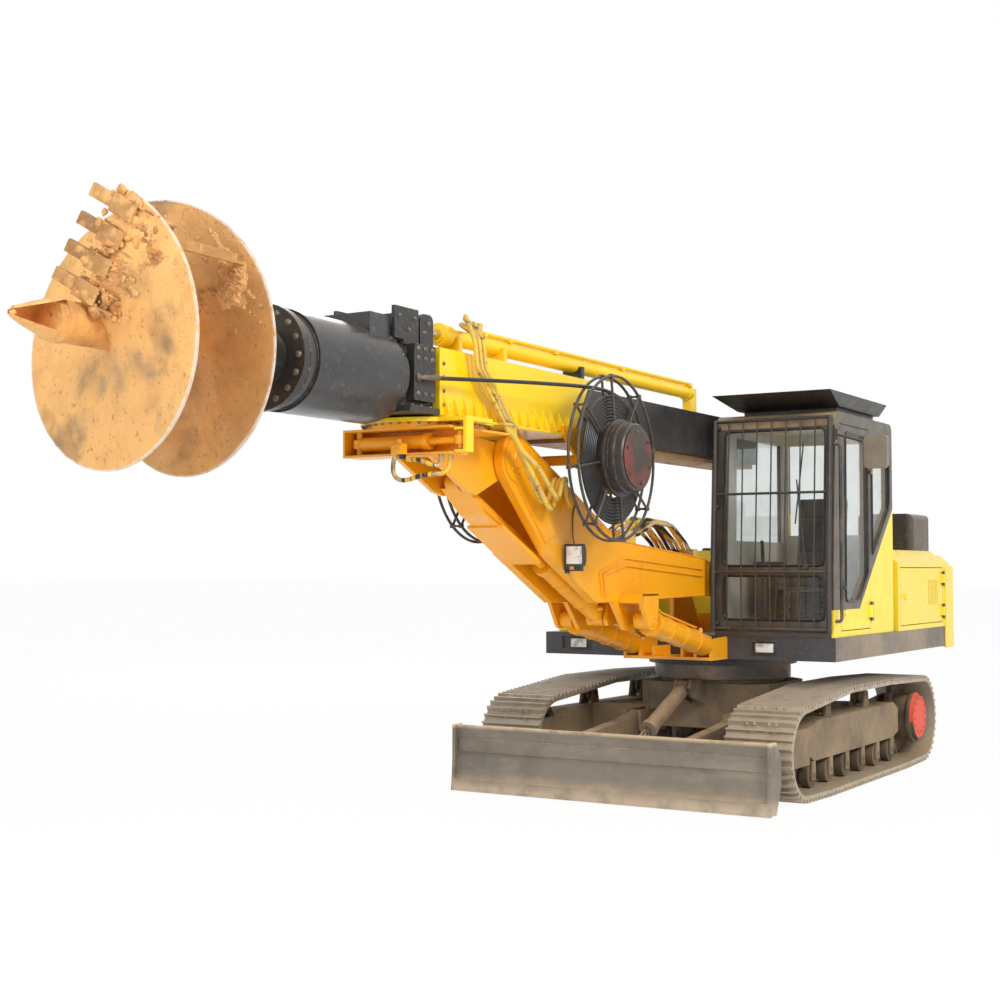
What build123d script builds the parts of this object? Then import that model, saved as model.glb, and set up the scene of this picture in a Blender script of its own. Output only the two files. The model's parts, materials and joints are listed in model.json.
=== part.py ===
from build123d import *
from math import atan2, cos, degrees, hypot, pi, radians, sin, sqrt
import os

# Rotary piling rig on crawler tracks, in millimetres.
# X runs forward to the auger, Y to the left (cab side), Z up. The origin is on the ground
# under the slew centre. The rig is modelled parked: boom low, mast level, blade down.

# Running clearances
SEAT = 0.3            # between bodies that carry each other on curved faces
GAP = 6.0             # between bodies that move past each other
PIN_FIT = 0.05        # radial, between a pin and its bore

# Tracks
TUMBLER_BASE = 2880   # idler centre to sprocket centre
GAUGE = 2030
SHOE_WIDTH = 510
SHOE_COUNT = 42
SHOE_PLATE = 26       # thickness of a shoe's plate and chain
GROUSER = 26          # height of a shoe's bar above its plate
IDLER_RADIUS = 292
SPROCKET_RADIUS = 318
CARRIER_RADIUS = 82
ROLLER_RADIUS = 96
CARRIER_SPREAD = TUMBLER_BASE * 0.32  # between the two carrier rollers of a side
CARRIER_TOP = 728     # underside of the chain over the carrier rollers
ROLLER_COUNT = 6
ROLLER_SPREAD = TUMBLER_BASE * 0.66
TRACK_FRAME_WIDTH = 250
TRACK_FRAME_LOW = 252
TRACK_FRAME_HIGH = 545
TRACK_FRAME_WALL = 20
TRACK_FRAME_FRONT = TUMBLER_BASE / 2 - 120
TRACK_FRAME_REAR = -TUMBLER_BASE / 2 + SPROCKET_RADIUS + 20
FRAME_ARM = 46
ARM_HALF_HEIGHT = 150  # of the boxes beside the idler
ROLLER_HALF = 100
CARRIER_HALF = 36
ROLLER_PIN = 26
SPROCKET_TEETH = 21
SPROCKET_THICK = 46
HUB_RADIUS = 190
IDLER_THICK = 150
IDLER_PIN = 40
DRIVE_SEAT = 92       # from a track's middle inwards to the plate that carries its drive
SHOE_PROFILE = [
    # share of a shoe's pitch, height above the chain's inner line
    (0.03, SHOE_PLATE - 8),
    (0.10, SHOE_PLATE),
    (0.13, SHOE_PLATE + GROUSER),
    (0.20, SHOE_PLATE + GROUSER),
    (0.24, SHOE_PLATE),
    (0.44, SHOE_PLATE),
    (0.47, SHOE_PLATE + GROUSER),
    (0.54, SHOE_PLATE + GROUSER),
    (0.58, SHOE_PLATE),
    (0.78, SHOE_PLATE),
    (0.81, SHOE_PLATE + GROUSER),
    (0.88, SHOE_PLATE + GROUSER),
    (0.93, SHOE_PLATE - 8),
]

# Undercarriage
CAR_HALF_LENGTH = 520
CAR_HALF_WIDTH = 560
CAR_LOW = 400
CAR_HIGH = 760
CAR_WALL = 30
LEG_HEIGHT = 230
LEG_WIDTH = 300
RING_RADIUS = 560
RING_INNER = 440
RING_LOW_HEIGHT = 95
RING_TOP = 905        # underside of the upper frame

# Blade
BLADE_WIDTH = 2550
BLADE_FRONT = TUMBLER_BASE / 2 + 750
BLADE_HEIGHT = 500
BLADE_PLATE = 28
BLADE_BASE = 10       # height of the cutting edge above the ground
BLADE_HINGE_X = 760
BLADE_HINGE_Z = 470
BLADE_ARM_Y = 430
BLADE_ARM_THICK = 90
BLADE_ARM_DEPTH = 170
BLADE_CYL_X = 760     # barrel hinge
BLADE_CYL_Z = 740
BLADE_EYE_X = BLADE_FRONT - 460
BLADE_EYE_Z = 330
BLADE_EYE_HALF = 42
BLADE_EYE_PIN = 28
BLADE_ARM_PIN = 34
BLADE_BARREL_RADIUS = 58
BLADE_ROD_RADIUS = 32
BLADE_BARREL_LENGTH = 720
BLADE_ROD_INSIDE = 480
BLADE_GLAND = 50

# Upper frame
DECK_LOW = 975
DECK_HIGH = 1155
DECK_FRONT = 780
DECK_REAR = -2350
DECK_HALF = 1250
DECK_PLATE = 40
SKIRT_WALL = 30
SLEW_SKIRT_RADIUS = 610
COUNTER_REAR = -2640
COUNTER_HALF = DECK_HALF + 12
COUNTER_CORNER = 220
COUNTER_FRONT = -2190
COUNTER_LOW = 960
COUNTER_HIGH = 1800
KEEL_Y = 120
LAMP_PLACES = (-1010, -60)
LAMP_DEPTH = 22
CHEEK_FRONT = 515      # front foot of the cheeks that carry the boom
CHEEK_REACH = 420      # from the foot pin back to their rear edge

# Engine room
HOOD_FRONT = -790
HOOD_HIGH = 1840
HOOD_WALL = 30
HOOD_CHAMFER = 120
DOOR_FRAME = 60
ENGINE_LENGTH = 1000
ENGINE_WIDTH = 760
ENGINE_HEIGHT = 560
DOOR_X0 = COUNTER_FRONT + DOOR_FRAME
DOOR_X1 = HOOD_FRONT - DOOR_FRAME
DOOR_Z0 = DECK_HIGH + 40
DOOR_Z1 = HOOD_HIGH - HOOD_CHAMFER - 30
LOUVRE_COUNT = 7
HINGE_OUT = 14        # from a door's face out to its hinge line
HINGE_RADIUS = 12

# Cab
CAB_INNER_Y = 268
CAB_OUTER_Y = DECK_HALF - 14
CAB_FRONT_LOW = 770
CAB_FRONT_HIGH = 700
CAB_REAR = -700
CAB_FLOOR = DECK_HIGH
CAB_ROOF = 2880


def cab_z(share):
    """A height at a share of the way from the cab's floor to its roof."""
    return CAB_FLOOR + share * (CAB_ROOF - CAB_FLOOR)


CAB_KNEE = cab_z(0.293)     # height at which the windshield starts to lean back
CAB_WALL = 60
CAB_PILLAR = 75
GLASS = 6
GLASS_INSET = 25
SHIELD_LOW = cab_z(0.316)
SHIELD_HIGH = cab_z(0.925)
FOOT_WINDOW_LOW = cab_z(0.075)
FOOT_WINDOW_HIGH = cab_z(0.27)
REAR_WINDOW_LOW = cab_z(0.467)
SIDE_WINDOW_LOW = cab_z(0.432)
WINDOW_HIGH = cab_z(0.914)
DOOR_FRONT_X = 610
DOOR_REAR_X = -95
DOOR_LOW = CAB_FLOOR + 45
DOOR_HIGH = CAB_ROOF - 90
DOOR_FRONT_GAP = 10   # the free edge swings out past the pillar
DOOR_WINDOW = [
    # x, z
    (DOOR_FRONT_X - 110, cab_z(0.157)),
    (DOOR_FRONT_X - 130, WINDOW_HIGH),
    (DOOR_REAR_X + 55, WINDOW_HIGH),
    (DOOR_REAR_X + 55, cab_z(0.281)),
    (190, cab_z(0.157)),
]
QUARTER_WINDOW = [
    # x, z of the window behind the door
    (DOOR_REAR_X - 60, WINDOW_HIGH),
    (CAB_REAR + 95, WINDOW_HIGH),
    (CAB_REAR + 95, cab_z(0.6)),
    (DOOR_REAR_X - 60, cab_z(0.362)),
]
RIGHT_WINDOW = [
    # x, z
    (CAB_REAR + 120, SIDE_WINDOW_LOW),
    (470, SIDE_WINDOW_LOW),
    (450, WINDOW_HIGH),
    (CAB_REAR + 120, WINDOW_HIGH),
]
GUARD_BARS = 9
GUARD_BAR = 12
GUARD_TUBE = 20
GUARD_STAND_OFF = 45
VISOR_LOW = CAB_ROOF + 52
VISOR_HIGH = CAB_ROOF + 145
VISOR_WALL = 8
MIRROR_X = DOOR_FRONT_X + 30   # clear of the door's swing
MIRROR_Y = CAB_OUTER_Y + 214
MIRROR_LOW = CAB_ROOF - 450
MIRROR_HIGH = CAB_ROOF - 200
MIRROR_DEPTH = 55
MIRROR_WIDTH = 180

# Boom: foot pin, elbow and mast pin in side view
FOOT_X = 380
FOOT_Z = 1560
MAST_PIN_X = 3700
MAST_PIN_Z = 2360
BOOM_HALF = 200
BOOM_PLATE = 22
BOOM_HEAD_RADIUS = 170
LIFT_BASE_X = 985
LIFT_BASE_Z = 1075
LIFT_EYE_X = 2110
LIFT_EYE_Z = 1310
LIFT_Y = 300
LIFT_BARREL_RADIUS = 84
LIFT_ROD_RADIUS = 46
LIFT_EYE_HALF = 46
LIFT_PIN = 34
LIFT_BARREL_LENGTH = 1040
LIFT_ROD_INSIDE = 870
LIFT_GLAND = 60
BRACKET_PLATE = 24     # plates of the bracket that holds the lift cylinders
BRACKET_RIB_Y = 110
BOOM_TOP_X = 840      # where the straight top of the boom starts
BOOM_TOP_Z = 1765
BEND_TOP = (2300, 1880)
BEND_LOW = (2640, 1440)
FORK_ROOT = 3080      # the closed box ends here and two cheeks go on to the mast pin
FOOT_PIN = 50
DOUBLER = 14          # how far the boom's side plates and strips stand proud
STRIP_WIDTH = 16
STRIP_STEP = 54       # between the two strips that follow the elbow
STRIP_LINE = [
    # x, z of the upper strip on each side of the boom
    (860, 1675),
    (2210, 1755),
    (2590, 1650),
    (2560, 1500),
]

# Mast cradle and its tilt cylinder
TILT_EYE_REACH = 420
TILT_EYE_DROP = 22.0  # degrees below level, seen from the mast pin
TILT_EYE = (
    MAST_PIN_X + TILT_EYE_REACH * cos(radians(TILT_EYE_DROP)),
    MAST_PIN_Z - TILT_EYE_REACH * sin(radians(TILT_EYE_DROP)),
)
TILT_BASE_X = 2200
TILT_BASE_Z = 1330
TILT_BARREL_RADIUS = 66
TILT_ROD_RADIUS = 38
TILT_BARREL_LENGTH = 905
TILT_ROD_INSIDE = 90    # length of rod left in the barrel at rest
TILT_EYE_HALF = 44
TILT_PIN = 34
TILT_GLAND = 50
GUARD_HALF = 94
GUARD_WIDE = 420      # from the eye back to the wide part
GUARD_WIDE_HALF = 132
GUARD_TAIL = 940
MAST_PIN = 52
CRADLE_HALF = 134
CRADLE_PLATE = 32
RING2_X = 4400        # centre of the mast's swing ring
RING2_RADIUS = 395
RING2_PLATE = 26
RING2_LOW = 2490
SWING_CYL_RADIUS = 42
SWING_ROD_RADIUS = 22
SWING_PIN = 20
YOKE_REAR = RING2_X - 330
YOKE_FRONT = RING2_X + 330
YOKE_BACK = YOKE_FRONT - 160
YOKE_DEEP = 150
YOKE_PLATE = 14
SWING_CYL_X = YOKE_FRONT - 80
SWING_CYL_Z = RING2_LOW - YOKE_PLATE - (YOKE_DEEP - YOKE_PLATE) / 2
SWING_BASE_Y = -310
SWING_EYE_Y = 400
SWING_EYE_HALF = 26

# Mast: sleeve, outer beam, sliding arm
AXIS_Z = 2760         # drill axis
BEAM_HALF = 200
BEAM_LOW = 2560
BEAM_HIGH = 2900
BEAM_WALL = 16
BEAM_REAR = -300
BEAM_STRIP = 40
SLEEVE_FRONT = 4640
SLEEVE_REAR = 2800
SLEEVE_REAR_LOW = 3050
SLEEVE_WALL = 50
ARM_PAD = 12          # thickness of a slide pad
SLEEVE_LOW = RING2_LOW + 2 * RING2_PLATE + SEAT
SLEEVE_FLANGE = 45    # width of the foot flange outside the sleeve's wall
RIB_COUNT = 15
RIB_HEIGHT = 150
SADDLES = (2560, 3600, 4130)

# Drill drive and auger
BLOCK_REAR = 4655
BLOCK_FRONT = 4950    # the drum starts here
BLOCK_HALF = 200
BLOCK_LOW = 2590
BLOCK_HIGH = 2960
BLOCK_CHEEK = 62      # thickness of the boxes on the block's sides
BLOCK_TOP = 3130
BLOCK_FOOT = 36       # thickness of the foot plate, clear of the swing plate
TOP_PLATE = 24
TOP_PLATE_Y = 190     # inner face of the upright plates on top
DRUM_REAR = BLOCK_FRONT
DRUM_FRONT = 5860
DRUM_RADIUS = 272
FLANGE_THICK = 45
AUGER_RADIUS = 645
AUGER_STEM_RADIUS = 95
AUGER_PITCH = 510
AUGER_TURNS = 1.75
AUGER_EDGE_X = 7190
AUGER_EDGE_ANGLE = 68.0
AUGER_PLATE = 30
AUGER_TIP_X = 7550
TOOTH_COUNT = 4
TOOTH_STEP = 140
TOOTH_TURN = 11.0     # degrees behind the flight's edge
FLIGHT_STEP = 15.0    # degrees between the flight's sections

# Top cylinder that drives the sliding arm
TOP_CYL_Z = 3090
TOP_CYL_RADIUS = 52
TOP_ROD_RADIUS = 30
TOP_BARREL_REAR = 660
TOP_BARREL_FRONT = 4300
TOP_ROD_REAR = TOP_BARREL_REAR + 100
TOP_GLAND = 100
TOP_PIPE_RADIUS = 12
TOP_PIPE_FRONT = TOP_BARREL_FRONT - 430
TOP_PIPES = [
    # y, height above the cylinder's axis
    (-18, 68),
    (42, 62),
]

# Hose reels
REEL_X = 2975
REEL_Z = 2400
REEL_RADIUS = 550
REEL_INNER_Y = 462
REEL_OUTER_Y = 552
REEL_CAP_Y = 690      # outer face of the drum on the reel's hub
REEL_HUB_RADIUS = 235
REEL_WIRE = 10
REEL_SPOKES = 8
REEL_SPOKE_TURN = 81.0  # degrees from level to the first spoke
REEL_HOSE_RADIUS = 440
REEL_AXLE_RADIUS = 34

# Hoses
HOSE_RADIUS = 15
PAD_HALF = 170        # half width of the blocks that hold the hoses on the boom
HOSE_COUNT = 8
HOSE_RISES = (0, 34, 12, 46, 22)
MAST_HOSE_RADIUS = 14
MAST_HOSE_STEP = 46
MAST_HOSE_LOW_X = 3990
SWING_HOSE_RADIUS = 9


def block(x0, x1, y0, y1, z0, z1):
    """A box between two corners."""
    return Pos((x0 + x1) / 2, (y0 + y1) / 2, (z0 + z1) / 2) * Box(x1 - x0, y1 - y0, z1 - z0)


def plate(outline, y0, y1):
    """An outline of (x, z) points, extruded from y0 to y1."""
    face = make_face(Polyline([(x, y0, z) for x, z in outline], close=True))
    return extrude(face, amount=y1 - y0, dir=(0, 1, 0))


def slab(outline, z0, z1):
    """An outline of (x, y) points, extruded from z0 to z1."""
    face = make_face(Polyline([(x, y, z0) for x, y in outline], close=True))
    return extrude(face, amount=z1 - z0, dir=(0, 0, 1))


def across(x, z, radius, y0, y1):
    """A cylinder along Y."""
    return Pos(x, (y0 + y1) / 2, z) * Rot(90, 0, 0) * Cylinder(radius, y1 - y0)


def along(y, z, radius, x0, x1):
    """A cylinder along X."""
    return Pos((x0 + x1) / 2, y, z) * Rot(0, 90, 0) * Cylinder(radius, x1 - x0)


def upright(x, y, radius, z0, z1):
    """A cylinder along Z."""
    return Pos(x, y, (z0 + z1) / 2) * Cylinder(radius, z1 - z0)


def bar(start, end, radius):
    """A round bar between two points."""
    run = Vector(*end) - Vector(*start)
    place = Plane(origin=start, z_dir=run)
    return place * Cylinder(radius, run.length, align=(Align.CENTER, Align.CENTER, Align.MIN))


def save(name, *solids):
    """Write one node, from solids that don't touch each other."""
    shape = solids[0] if len(solids) == 1 else Compound(children=list(solids))
    export_step(shape, f"parts/{name}.step")


def between(a, b, share):
    """The place at a share of the way from one point to another."""
    return (a[0] + (b[0] - a[0]) * share, a[1] + (b[1] - a[1]) * share)


# Tracks

def belt_runs(wheels, extra):
    """Straight runs of a belt round wheels given clockwise as (x, z, radius).

    Each run is (start, end, angle of its outward normal)."""
    runs = []
    for i, (x0, z0, r0) in enumerate(wheels):
        x1, z1, r1 = wheels[(i + 1) % len(wheels)]
        run, heading = hypot(x1 - x0, z1 - z0), atan2(z1 - z0, x1 - x0)
        normal = heading + pi / 2 - atan2(r1 - r0, sqrt(run**2 - (r1 - r0) ** 2)) * -1
        a = (x0 + (r0 + extra) * cos(normal), z0 + (r0 + extra) * sin(normal))
        b = (x1 + (r1 + extra) * cos(normal), z1 + (r1 + extra) * sin(normal))
        runs.append((a, b, normal))
    return runs


def belt_point(wheels, extra, share):
    """A point and outward normal angle at a share of the belt's length."""
    runs = belt_runs(wheels, extra)
    pieces = []
    for i, (a, b, normal) in enumerate(runs):
        pieces.append(("run", hypot(b[0] - a[0], b[1] - a[1]), a, b, normal))
        x, z, radius = wheels[(i + 1) % len(wheels)]
        turn = (normal - runs[(i + 1) % len(runs)][2]) % (2 * pi)
        pieces.append(("arc", turn * (radius + extra), (x, z), radius + extra, normal))
    left = share % 1.0 * sum(p[1] for p in pieces)
    for kind, length, first, second, normal in pieces:
        if left <= length:
            break
        left -= length
    if kind == "run":
        return between(first, second, left / length), normal
    angle = normal - left / second
    return (first[0] + second * cos(angle), first[1] + second * sin(angle)), angle


half_base = TUMBLER_BASE / 2
ground_line = SHOE_PLATE + GROUSER
wheels = [
    # x, z, radius of each wheel that the chain goes round, clockwise from the sprocket
    (-half_base, ground_line + SPROCKET_RADIUS + 12, SPROCKET_RADIUS),
    (-CARRIER_SPREAD / 2, CARRIER_TOP - CARRIER_RADIUS, CARRIER_RADIUS),
    (CARRIER_SPREAD / 2, CARRIER_TOP - CARRIER_RADIUS, CARRIER_RADIUS),
    (half_base, ground_line + IDLER_RADIUS + 12, IDLER_RADIUS),
    (ROLLER_SPREAD / 2, ground_line + ROLLER_RADIUS, ROLLER_RADIUS),
    (-ROLLER_SPREAD / 2, ground_line + ROLLER_RADIUS, ROLLER_RADIUS),
]
outer_line = []
for shoe in range(SHOE_COUNT):
    for share, height in SHOE_PROFILE:
        point, _ = belt_point(wheels, SHOE_PLATE, (shoe + share) / SHOE_COUNT)
        _, normal = belt_point(wheels, SHOE_PLATE, (shoe + 0.55) / SHOE_COUNT)
        lift = height - SHOE_PLATE
        outer_line.append((point[0] + lift * cos(normal), point[1] + lift * sin(normal)))
lowest = min(z for x, z in outer_line)
outer_line = [(x, z - lowest) for x, z in outer_line]
wheels = [(x, z - lowest, radius) for x, z, radius in wheels]

frame_half = TRACK_FRAME_WIDTH / 2
carrier_z = wheels[1][1]
roller_z = wheels[4][1]
roller_places = [
    (-ROLLER_SPREAD / 2 + i * ROLLER_SPREAD / (ROLLER_COUNT - 1), roller_z)
    for i in range(ROLLER_COUNT)
]
carrier_places = [(-CARRIER_SPREAD / 2, carrier_z), (CARRIER_SPREAD / 2, carrier_z)]
track_y = GAUGE / 2
shoe_half = SHOE_WIDTH / 2


def inner_face(y):
    """The space inside a track: straight runs and arcs round the wheels."""
    runs = belt_runs(wheels, 0)
    edges = []
    for i, (a, b, normal) in enumerate(runs):
        x, z, radius = wheels[(i + 1) % len(wheels)]
        following = runs[(i + 1) % len(runs)]
        turn = (normal - following[2]) % (2 * pi)
        middle = (x + radius * cos(normal - turn / 2), y, z + radius * sin(normal - turn / 2))
        start, end, after = (a[0], y, a[1]), (b[0], y, b[1]), (following[0][0], y, following[0][1])
        edges.append(Line(start, end).edge())
        edges.append(ThreePointArc(end, middle, after).edge())
    return Face(Wire(edges))


def track(side):
    y = side * track_y
    loop = plate(outer_line, y - shoe_half, y + shoe_half)
    return loop - extrude(inner_face(y - shoe_half - 1), amount=SHOE_WIDTH + 2, dir=(0, 1, 0))


sprocket_x, sprocket_z, _ = wheels[0]
idler_x, idler_z, _ = wheels[3]


def sprocket(side):
    """Toothed ring, final drive housing and the round cap on its outer face."""
    y = side * track_y
    outline = []
    for tooth in range(SPROCKET_TEETH):
        for share, radius in ((0.0, -26), (0.3, -26), (0.45, -SEAT), (0.75, -SEAT)):
            angle = -2 * pi * (tooth + share) / SPROCKET_TEETH
            reach = SPROCKET_RADIUS + radius
            outline.append((sprocket_x + reach * cos(angle), sprocket_z + reach * sin(angle)))
    ring = plate(outline, y - SPROCKET_THICK / 2, y + SPROCKET_THICK / 2)
    cap_face = y + side * (shoe_half - 40)
    low, high = sorted((y - side * DRIVE_SEAT, cap_face))
    case = across(sprocket_x, sprocket_z, HUB_RADIUS, low, high)
    edge = cap_face - side * 34
    low, high = sorted((edge, cap_face - side * 60))
    flange = across(sprocket_x, sprocket_z, HUB_RADIUS + 28, low, high)
    return ring + case + flange


def idler(side):
    y = side * track_y
    rim = across(idler_x, idler_z, IDLER_RADIUS - SEAT, y - IDLER_THICK / 2, y + IDLER_THICK / 2)
    for face in (1, -1):
        low, high = sorted((y + face * (IDLER_THICK / 2 - 30), y + face * (IDLER_THICK / 2 + 1)))
        dish = across(idler_x, idler_z, IDLER_RADIUS - 70, low, high)
        rim = rim - (dish - across(idler_x, idler_z, 95, low, high))
    return rim - across(idler_x, idler_z, IDLER_PIN, y - IDLER_THICK, y + IDLER_THICK)


def track_frame(side):
    """Box beam with a peaked top, a fork for the idler, a bulkhead for the drive and roller seats."""
    y = side * track_y
    outline = [
        (TRACK_FRAME_REAR, TRACK_FRAME_LOW + 40),
        (TRACK_FRAME_REAR + 160, TRACK_FRAME_LOW),
        (TRACK_FRAME_FRONT - 360, TRACK_FRAME_LOW),
        (TRACK_FRAME_FRONT - 240, TRACK_FRAME_LOW + 60),
        (TRACK_FRAME_FRONT - 240, TRACK_FRAME_HIGH - 70),
        (TRACK_FRAME_FRONT - 420, TRACK_FRAME_HIGH),
        (TRACK_FRAME_REAR + 120, TRACK_FRAME_HIGH),
        (TRACK_FRAME_REAR, TRACK_FRAME_HIGH - 60),
    ]
    body = plate(outline, y - frame_half, y + frame_half)
    wall = TRACK_FRAME_WALL
    body -= block(
        TRACK_FRAME_REAR + 190, TRACK_FRAME_FRONT - 450,
        y - frame_half + wall, y + frame_half - wall,
        TRACK_FRAME_LOW + wall, TRACK_FRAME_HIGH - wall,
    )
    for face in (1, -1):
        inner = face * (IDLER_THICK / 2 + GAP)
        low, high = sorted((y + inner, y + inner + face * FRAME_ARM))
        body += block(TRACK_FRAME_FRONT - 260, idler_x + 90, low, high,
                      idler_z - ARM_HALF_HEIGHT + 30, idler_z + ARM_HALF_HEIGHT)
    body += across(idler_x, idler_z, IDLER_PIN - PIN_FIT, y - IDLER_THICK / 2 - 30, y + IDLER_THICK / 2 + 30)
    low, high = sorted((y - side * frame_half, y - side * DRIVE_SEAT))
    body += plate(
        [(TRACK_FRAME_REAR + 120, TRACK_FRAME_LOW + 60), (TRACK_FRAME_REAR + 120, TRACK_FRAME_HIGH),
         (sprocket_x, sprocket_z + 200), (sprocket_x - 160, sprocket_z + 100),
         (sprocket_x - 160, sprocket_z - 100), (sprocket_x, sprocket_z - 200)], low, high)
    for x, z in roller_places:
        for face in (1, -1):
            low, high = sorted((y + face * (ROLLER_HALF + 4), y + face * (ROLLER_HALF + 20)))
            lug = block(x - 36, x + 36, low, high, z - 34, TRACK_FRAME_LOW + 1)
            body += lug - across(x, z, ROLLER_PIN, low - 1, high + 1)
    for k in (-1, 1):
        x = k * CARRIER_SPREAD / 2
        stand = plate(
            [(x - 70, TRACK_FRAME_HIGH - 5), (x + 70, TRACK_FRAME_HIGH - 5),
             (x + 34, carrier_z + 30), (x - 34, carrier_z + 30)],
            y - CARRIER_HALF - 26, y - CARRIER_HALF - 4)
        stand -= across(x, carrier_z, ROLLER_PIN, y - CARRIER_HALF - 30, y - CARRIER_HALF)
        body += stand + mirror(stand, about=Plane(origin=(0, y, 0), z_dir=(0, 1, 0)))
    return body


def rollers(side, centres, radius, half):
    """Rollers along Y with their waist turned down, on shafts that reach into the frame's lugs."""
    y = side * track_y
    made = []
    for x, z in centres:
        wheel = across(x, z, radius, y - half, y + half)
        wheel -= across(x, z, radius + 1, y - half * 0.35, y + half * 0.35) - across(
            x, z, radius - 18, y - half, y + half)
        wheel += across(x, z, ROLLER_PIN - PIN_FIT, y - half - 20, y + half + 20)
        made.append(wheel)
    return made


def car_body():
    """Box under the slew ring with four legs to the track frames, all hollow from below."""
    body = block(-CAR_HALF_LENGTH, CAR_HALF_LENGTH, -CAR_HALF_WIDTH, CAR_HALF_WIDTH, CAR_LOW, CAR_HIGH)
    body = chamfer(body.edges().filter_by(Axis.Z), 150)
    inner_y = track_y - frame_half
    for fore in (1, -1):
        for side in (1, -1):
            leg = slab(
                [(fore * 120, side * 300), (fore * (120 + LEG_WIDTH), side * 300),
                 (fore * (330 + LEG_WIDTH), side * inner_y), (fore * 330, side * inner_y)],
                CAR_LOW - 60, CAR_LOW - 60 + LEG_HEIGHT)
            body += leg
    body -= block(
        -CAR_HALF_LENGTH + CAR_WALL, CAR_HALF_LENGTH - CAR_WALL,
        -CAR_HALF_WIDTH + 4 * CAR_WALL, CAR_HALF_WIDTH - 4 * CAR_WALL,
        CAR_LOW - 61, CAR_HIGH - CAR_WALL)
    body += upright(0, 0, RING_RADIUS - 60, CAR_HIGH - 1, CAR_HIGH + 30)
    for side in (1, -1):
        for face in (-1, 1):
            y = side * BLADE_ARM_Y + face * (BLADE_ARM_THICK / 2 + GAP)
            low, high = sorted((y, y + face * 28))
            body += block(CAR_HALF_LENGTH - 30, BLADE_HINGE_X + 70, low, high,
                          BLADE_HINGE_Z - 75, BLADE_HINGE_Z + 75)
        pin_low = side * BLADE_ARM_Y - BLADE_ARM_THICK / 2 - GAP - 10
        body += across(BLADE_HINGE_X, BLADE_HINGE_Z, BLADE_ARM_PIN - PIN_FIT, pin_low,
                       pin_low + BLADE_ARM_THICK + 2 * GAP + 20)
        low, high = sorted((side * (BLADE_EYE_HALF + GAP), side * (BLADE_EYE_HALF + GAP + 26)))
        body += plate(
            [(CAR_HALF_LENGTH - 30, CAR_HIGH - 180), (BLADE_CYL_X + 20, BLADE_CYL_Z - 70),
             (BLADE_CYL_X + 62, BLADE_CYL_Z), (BLADE_CYL_X + 20, BLADE_CYL_Z + 58),
             (RING_RADIUS + 30, BLADE_CYL_Z + 58), (RING_RADIUS + 30, CAR_HIGH),
             (CAR_HALF_LENGTH - 30, CAR_HIGH)], low, high)
    body += across(BLADE_CYL_X, BLADE_CYL_Z, BLADE_EYE_PIN - PIN_FIT, -BLADE_EYE_HALF - GAP - 10,
                   BLADE_EYE_HALF + GAP + 10)
    return body


def slew_ring():
    body = upright(0, 0, RING_RADIUS, CAR_HIGH + 30, RING_TOP)
    return body - upright(0, 0, RING_INNER, CAR_HIGH + 29, RING_TOP + 1)


def blade():
    """Curved mould board with a cutting edge, end plates and a stiffening tube behind."""
    face = BLADE_FRONT - 60
    top = BLADE_HEIGHT
    low = BLADE_BASE
    half = BLADE_WIDTH / 2
    front_arc = ThreePointArc((BLADE_FRONT - 12, 0, low + 60), (face - 18, 0, top * 0.52), (face + 22, 0, top))
    back_arc = ThreePointArc((face + 22 - BLADE_PLATE, 0, top), (face - 18 - BLADE_PLATE, 0, top * 0.52),
                             (BLADE_FRONT - 12 - BLADE_PLATE, 0, low + 60))
    outline = Wire([
        front_arc.edge(), Line(front_arc @ 1, back_arc @ 0).edge(), back_arc.edge(),
        Line(back_arc @ 1, front_arc @ 0).edge(),
    ])
    board = Pos(0, -half, 0) * extrude(Face(outline), amount=BLADE_WIDTH, dir=(0, 1, 0))
    edge = plate(
        [(BLADE_FRONT, low), (BLADE_FRONT - 10, low + 90), (BLADE_FRONT - 42, low + 90),
         (BLADE_FRONT - 30, low)], -half, half)
    board += edge
    board += block(face - 130, face - 5, -half + 30, half - 30, 300, 400)
    for side in (1, -1):
        low_y, high_y = sorted((side * half, side * (half - 25)))
        board += plate(
            [(BLADE_FRONT - 8, low + 4), (BLADE_FRONT - 20, top * 0.5), (face + 40, top + 2),
             (face - 60, top + 2), (face - 150, 380), (face - 150, 200), (face - 60, low + 4)],
            low_y, high_y)
    return board


def blade_arms():
    """Two arms from the car body to the blade, joined by a cross tube, with lugs for the rod."""
    arms = None
    back = BLADE_FRONT - 60 - 130
    for side in (1, -1):
        low_y = side * BLADE_ARM_Y - BLADE_ARM_THICK / 2
        arm = plate(
            [(BLADE_HINGE_X, BLADE_HINGE_Z + 72), (BLADE_HINGE_X + 260, BLADE_HINGE_Z + 20),
             (back, 400), (back, 230), (BLADE_HINGE_X + 300, 225), (BLADE_HINGE_X, BLADE_HINGE_Z - 72)],
            low_y, low_y + BLADE_ARM_THICK)
        arm += across(BLADE_HINGE_X, BLADE_HINGE_Z, 72, low_y, low_y + BLADE_ARM_THICK)
        arm -= across(BLADE_HINGE_X, BLADE_HINGE_Z, BLADE_ARM_PIN, low_y - 1, low_y + BLADE_ARM_THICK + 1)
        arms = arm if arms is None else arms + arm
    inner = BLADE_ARM_Y - BLADE_ARM_THICK / 2 + 5
    arms += block(back - 120, back - 10, -inner, inner, 240, 340)
    for side in (1, -1):
        low, high = sorted((side * (BLADE_EYE_HALF + GAP), side * (BLADE_EYE_HALF + GAP + 26)))
        arms += plate(
            [(back - 200, 300), (back, 240), (back, 400), (BLADE_EYE_X - 60, BLADE_EYE_Z + 70),
             (BLADE_EYE_X - 75, BLADE_EYE_Z)],
            low, high)
    return arms


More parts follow.
